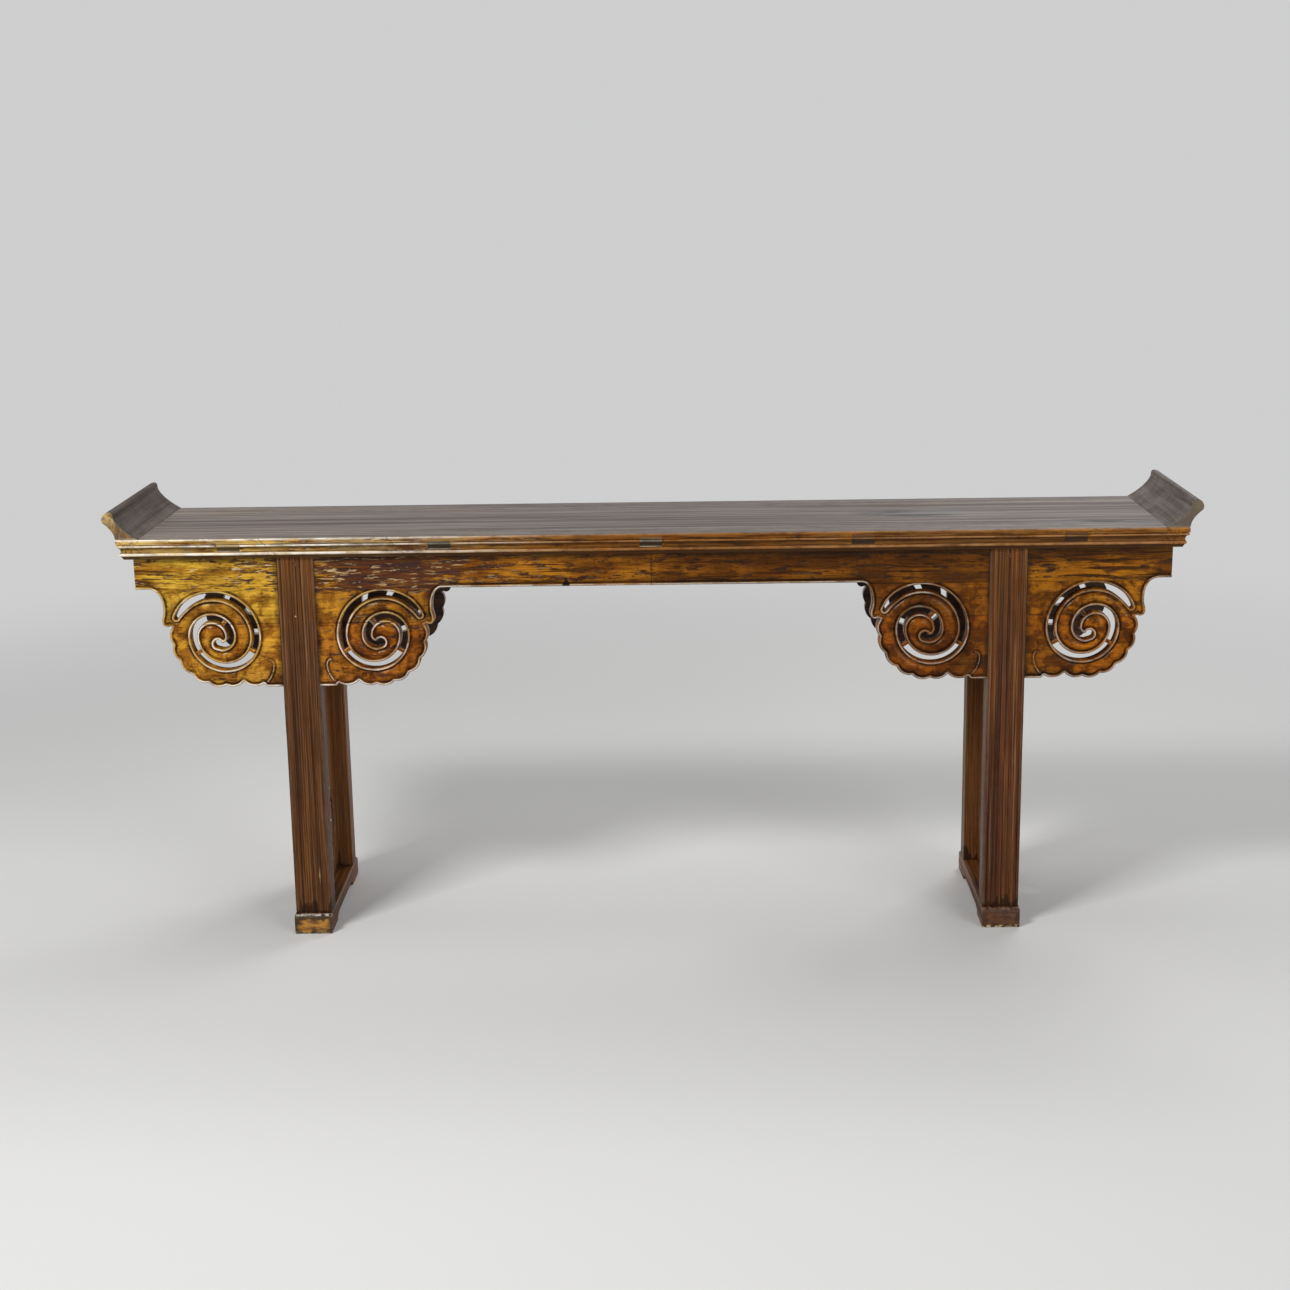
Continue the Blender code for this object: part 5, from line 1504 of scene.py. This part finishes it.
def makeCrossRails():
    shape = crossShape
    half, low, curve = shape["half"], shape["low"], shape["round"]
    right = [(half, shape["top"], 0.2), (half, low + curve * 2, 0.0)]
    for turn in [math.radians(18 * step) for step in range(6)]:
        right.append((half - curve * (1 - math.cos(turn)), low + curve * (1 - math.sin(turn)), 0.8))
    section = right + [(-across, up, worn) for across, up, worn in reversed(right)]
    reach = legBack - fit
    mesh = asMesh("cross rail", drawnBar(section, "Y", -reach, reach, shape["stretch"]))
    setSides("tie_", "cross_rail_", mesh, [darkShort])


endPanel = {
    "thick": 0.016,
    "ratio": 0.96,
    "inset": 0.1287,
    "roseChord": 0.040,
    "roseBulge": 0.42,
    "bandSwell": 0.0016,
    "fieldSwell": 0.0005,
    "bandEdge": (0.076, 0.090),
    "grid": 0.008,
}


def makeEndPanels():
    shape = endPanel
    low = shoeTop + fit
    high = crossShape["low"] - fit
    reach = legBack - fit
    level = (low + high) / 2
    spare = boardCarving["past"]
    near = -spiral["radii"][0] * shape["ratio"]
    upperLevel = high - shape["inset"]
    upper = spiralSlot(upperLevel, near, shape["ratio"])
    lower = [(-across, 2 * level - up) for across, up in upper]
    half = shape["roseChord"] / 2
    marks = [(half, level + half), (half, level - half), (-half, level - half), (-half, level + half)]
    rose = []
    for start, end in zip(marks, marks[1:] + marks[:1]):
        rose += lobePoints(start, end, shape["roseBulge"], 12)
    outline = [(reach + spare, low - spare), (reach + spare, high + spare),
               (-reach - spare, high + spare), (-reach - spare, low - spare)]
    beads = [loop + loop[:1] for loop in (upper, lower, rose)]

    def fieldHeight(co):
        out = min(math.hypot(co.x, co.z - upperLevel), math.hypot(co.x, co.z - 2 * level + upperLevel))
        return bandField(shape, out)
    back = shape["thick"] / 2
    bm = carveBoard(outline, [upper, lower, rose], beads, -back, back, fieldHeight, bothFaces=True,
                    grid=shape["grid"])
    sawOff(bm, (reach, 0.0, 0.0), (1.0, 0.0, 0.0))
    sawOff(bm, (-reach, 0.0, 0.0), (-1.0, 0.0, 0.0))
    sawOff(bm, (0.0, 0.0, low), (0.0, 0.0, -1.0))
    sawOff(bm, (0.0, 0.0, high), (0.0, 0.0, 1.0))
    for turned in (1.0, -1.0):
        addTies(bm, upperLevel, near, shape["ratio"], -back, back, turned, level)
    mesh = asMesh("end panel", bm)
    mesh.transform(Matrix.Rotation(math.pi / 2, 4, "Z"))
    setSides("screen_", "end_panel_", mesh, [darkLeg])


pegShape = {"round": 0.0016}
nailShape = {"depth": 0.006, "front": -0.0009}
nails = [      # place, radius and facing of the small nails in the left front leg
    ((-0.7365, -0.174, 0.692), 0.0018, 0.0),
    ((-0.6935, -0.130, 0.235), 0.0026, 90.0),
    ((-0.6935, -0.130, 0.307), 0.0022, 90.0),
]


def roundHead(radius, depth, front, curve):      # short pin with a rounded head facing -Y
    bm = newShape()[0]
    bmesh.ops.create_cone(bm, cap_ends=True, cap_tris=False, segments=24, radius1=radius, radius2=radius,
                          depth=depth)
    turnShape(bm, math.pi / 2, "X")
    bmesh.ops.translate(bm, verts=bm.verts, vec=(0.0, front + depth / 2, 0.0))
    rim = [edge for edge in bm.edges if all(abs(vert.co.y - front) < hair for vert in edge.verts)]
    softenEdges(bm, rim, curve, 4, 0.5)
    bmesh.ops.recalc_face_normals(bm, faces=bm.faces)
    return bm


def makePegs():
    radius = (pegHigh.x - pegLow.x) / 2
    mesh = asMesh("peg", roundHead(radius, pegHigh.y - pegLow.y, pegLow.y, pegShape["round"]))
    setCorners("pin_", "peg_", mesh, [darkShort], (pegHigh.z + pegLow.z) / 2)
    for number, (spot, size, facing) in enumerate(nails, start=1):
        nail = asMesh("nail", roundHead(size, nailShape["depth"], nailShape["front"], size * 0.5))
        turned = Matrix.Translation(spot) @ Matrix.Rotation(math.radians(facing), 4, "Z")
        setPiece("nail_%d" % number, nail, [nailMetal], [], turned)


makeLegs()
makeShoes()
makeCrossRails()
makeEndPanels()
makePegs()
print("leg frames made")

# the panel and battens keep their solids
for item in scene.objects:
    if item.name.startswith("top_panel") or item.name.startswith("top_batten"):
        finish = topSurface if item.name.startswith("top_panel") else battenGrain
        item.data.materials.clear()
        item.data.materials.append(finish)
print("kept solids finished")


stageShape = {
    "radius": 40.0,
    "colour": (0.72, 0.715, 0.70),
    "roughness": 0.8,
    "pale": (0.62, 0.62, 0.625),      # background as the camera sees it
    "fade": (1.5, 4.2),      # where the floor runs into the background
}


def seenRays(tree):      # rays that show the background: straight, mirrored or through glass
    straight, mirrored, through = [addNode(tree, "LightPath", {}, "Is %s Ray" % kind)
                                   for kind in ("Camera", "Glossy", "Transmission")]
    return straight.most(mirrored).most(through)


def showBlend(tree, share, first, second, output):      # two shaders mixed and sent to the output
    blend = addNode(tree, "MixShader", {0: share, 1: first, 2: second}, "Shader")
    plug(tree, blend, tree.nodes[output].inputs["Surface"])


def makeStage():
    shape = stageShape
    bm = bmesh.new()
    bmesh.ops.create_circle(bm, cap_ends=True, segments=96, radius=shape["radius"])
    mesh = asMesh("floor", bm)
    floor = bpy.data.objects.new("floor", mesh)
    scene.collection.objects.link(floor)
    finish = woodFinish("pale floor")
    tree = finish.tree
    shader = tree.nodes["Principled BSDF"]
    plug(tree, shape["colour"], shader.inputs["Base Color"])
    plug(tree, shape["roughness"], shader.inputs["Roughness"])
    glow = addNode(tree, "Emission", {"Color": shape["pale"]}, "Emission")
    out = addNode(tree, "VectorMath", {0: finish.place}, "Value", operation="LENGTH")
    shown = out.span(*shape["fade"]) * seenRays(tree)
    showBlend(tree, shown, shaderValue(tree, shader.outputs["BSDF"]), glow, "Material Output")
    mesh.materials.append(finish.material)


lights = {
    "key": {"place": (-2.4, -2.9, 3.7), "aim": (0.0, 0.0, 0.7), "size": (1.4, 0.9), "power": 150.0},
    "fill": {"place": (3.2, -4.4, 2.1), "aim": (0.2, 0.0, 0.6), "size": (3.0, 2.4), "power": 102.0},
    "overhead": {"place": (0.0, 0.8, 4.2), "aim": (0.0, 0.0, 0.0), "size": (4.5, 2.5), "power": 36.0},
    "rear": {"place": (2.0, 3.2, 4.2), "aim": (0.0, 0.0, 0.6), "size": (2.0, 1.2), "power": 70.0},
}
worldLight = {"colour": (0.92, 0.95, 1.0), "strength": 0.14}


def makeLights():
    for name, lamp in lights.items():
        data = bpy.data.lights.new(name, "AREA")
        data.shape = "RECTANGLE"
        data.size, data.size_y = lamp["size"]
        data.energy = lamp["power"]
        holder = bpy.data.objects.new(name, data)
        holder.location = lamp["place"]
        aim = Vector(lamp["aim"]) - Vector(lamp["place"])
        holder.rotation_euler = aim.to_track_quat("-Z", "Y").to_euler()
        scene.collection.objects.link(holder)
    world = bpy.data.worlds.new("soft grey")
    world.use_nodes = True
    tree = world.node_tree
    sky = tree.nodes["Background"]
    plug(tree, worldLight["colour"], sky.inputs["Color"])
    plug(tree, worldLight["strength"], sky.inputs["Strength"])
    wall = addNode(tree, "Background", {"Color": stageShape["pale"]}, "Background")
    showBlend(tree, seenRays(tree), shaderValue(tree, sky.outputs["Background"]), wall, "World Output")
    scene.world = world


viewpoint = {
    "place": (0.05747, -4.38374, 1.64207),
    "yaw": -0.01724,
    "pitch": 0.23751,      # downwards
    "roll": 0.01558,
    "focal": 2094.16,      # in pixels of a 1290 px frame
    "frame": 1290.0,
    "sensor": 36.0,
}


def makeCamera():
    yaw, pitch, roll = viewpoint["yaw"], viewpoint["pitch"], viewpoint["roll"]
    ahead = Vector((math.sin(yaw) * math.cos(pitch), math.cos(yaw) * math.cos(pitch), -math.sin(pitch)))
    right = Vector((math.cos(yaw), -math.sin(yaw), 0.0))
    down = ahead.cross(right)
    rightRolled = right * math.cos(roll) + down * math.sin(roll)
    downRolled = down * math.cos(roll) - right * math.sin(roll)
    turn = Matrix((rightRolled, -downRolled, -ahead)).transposed().to_4x4()
    data = bpy.data.cameras.new("camera")
    data.sensor_width = viewpoint["sensor"]
    data.lens = viewpoint["focal"] / viewpoint["frame"] * data.sensor_width
    holder = bpy.data.objects.new("camera", data)
    holder.matrix_world = Matrix.Translation(viewpoint["place"]) @ turn
    scene.collection.objects.link(holder)
    scene.camera = holder


makeStage()
makeLights()
makeCamera()
print("stage, lights and camera made")

bpy.context.view_layer.update()
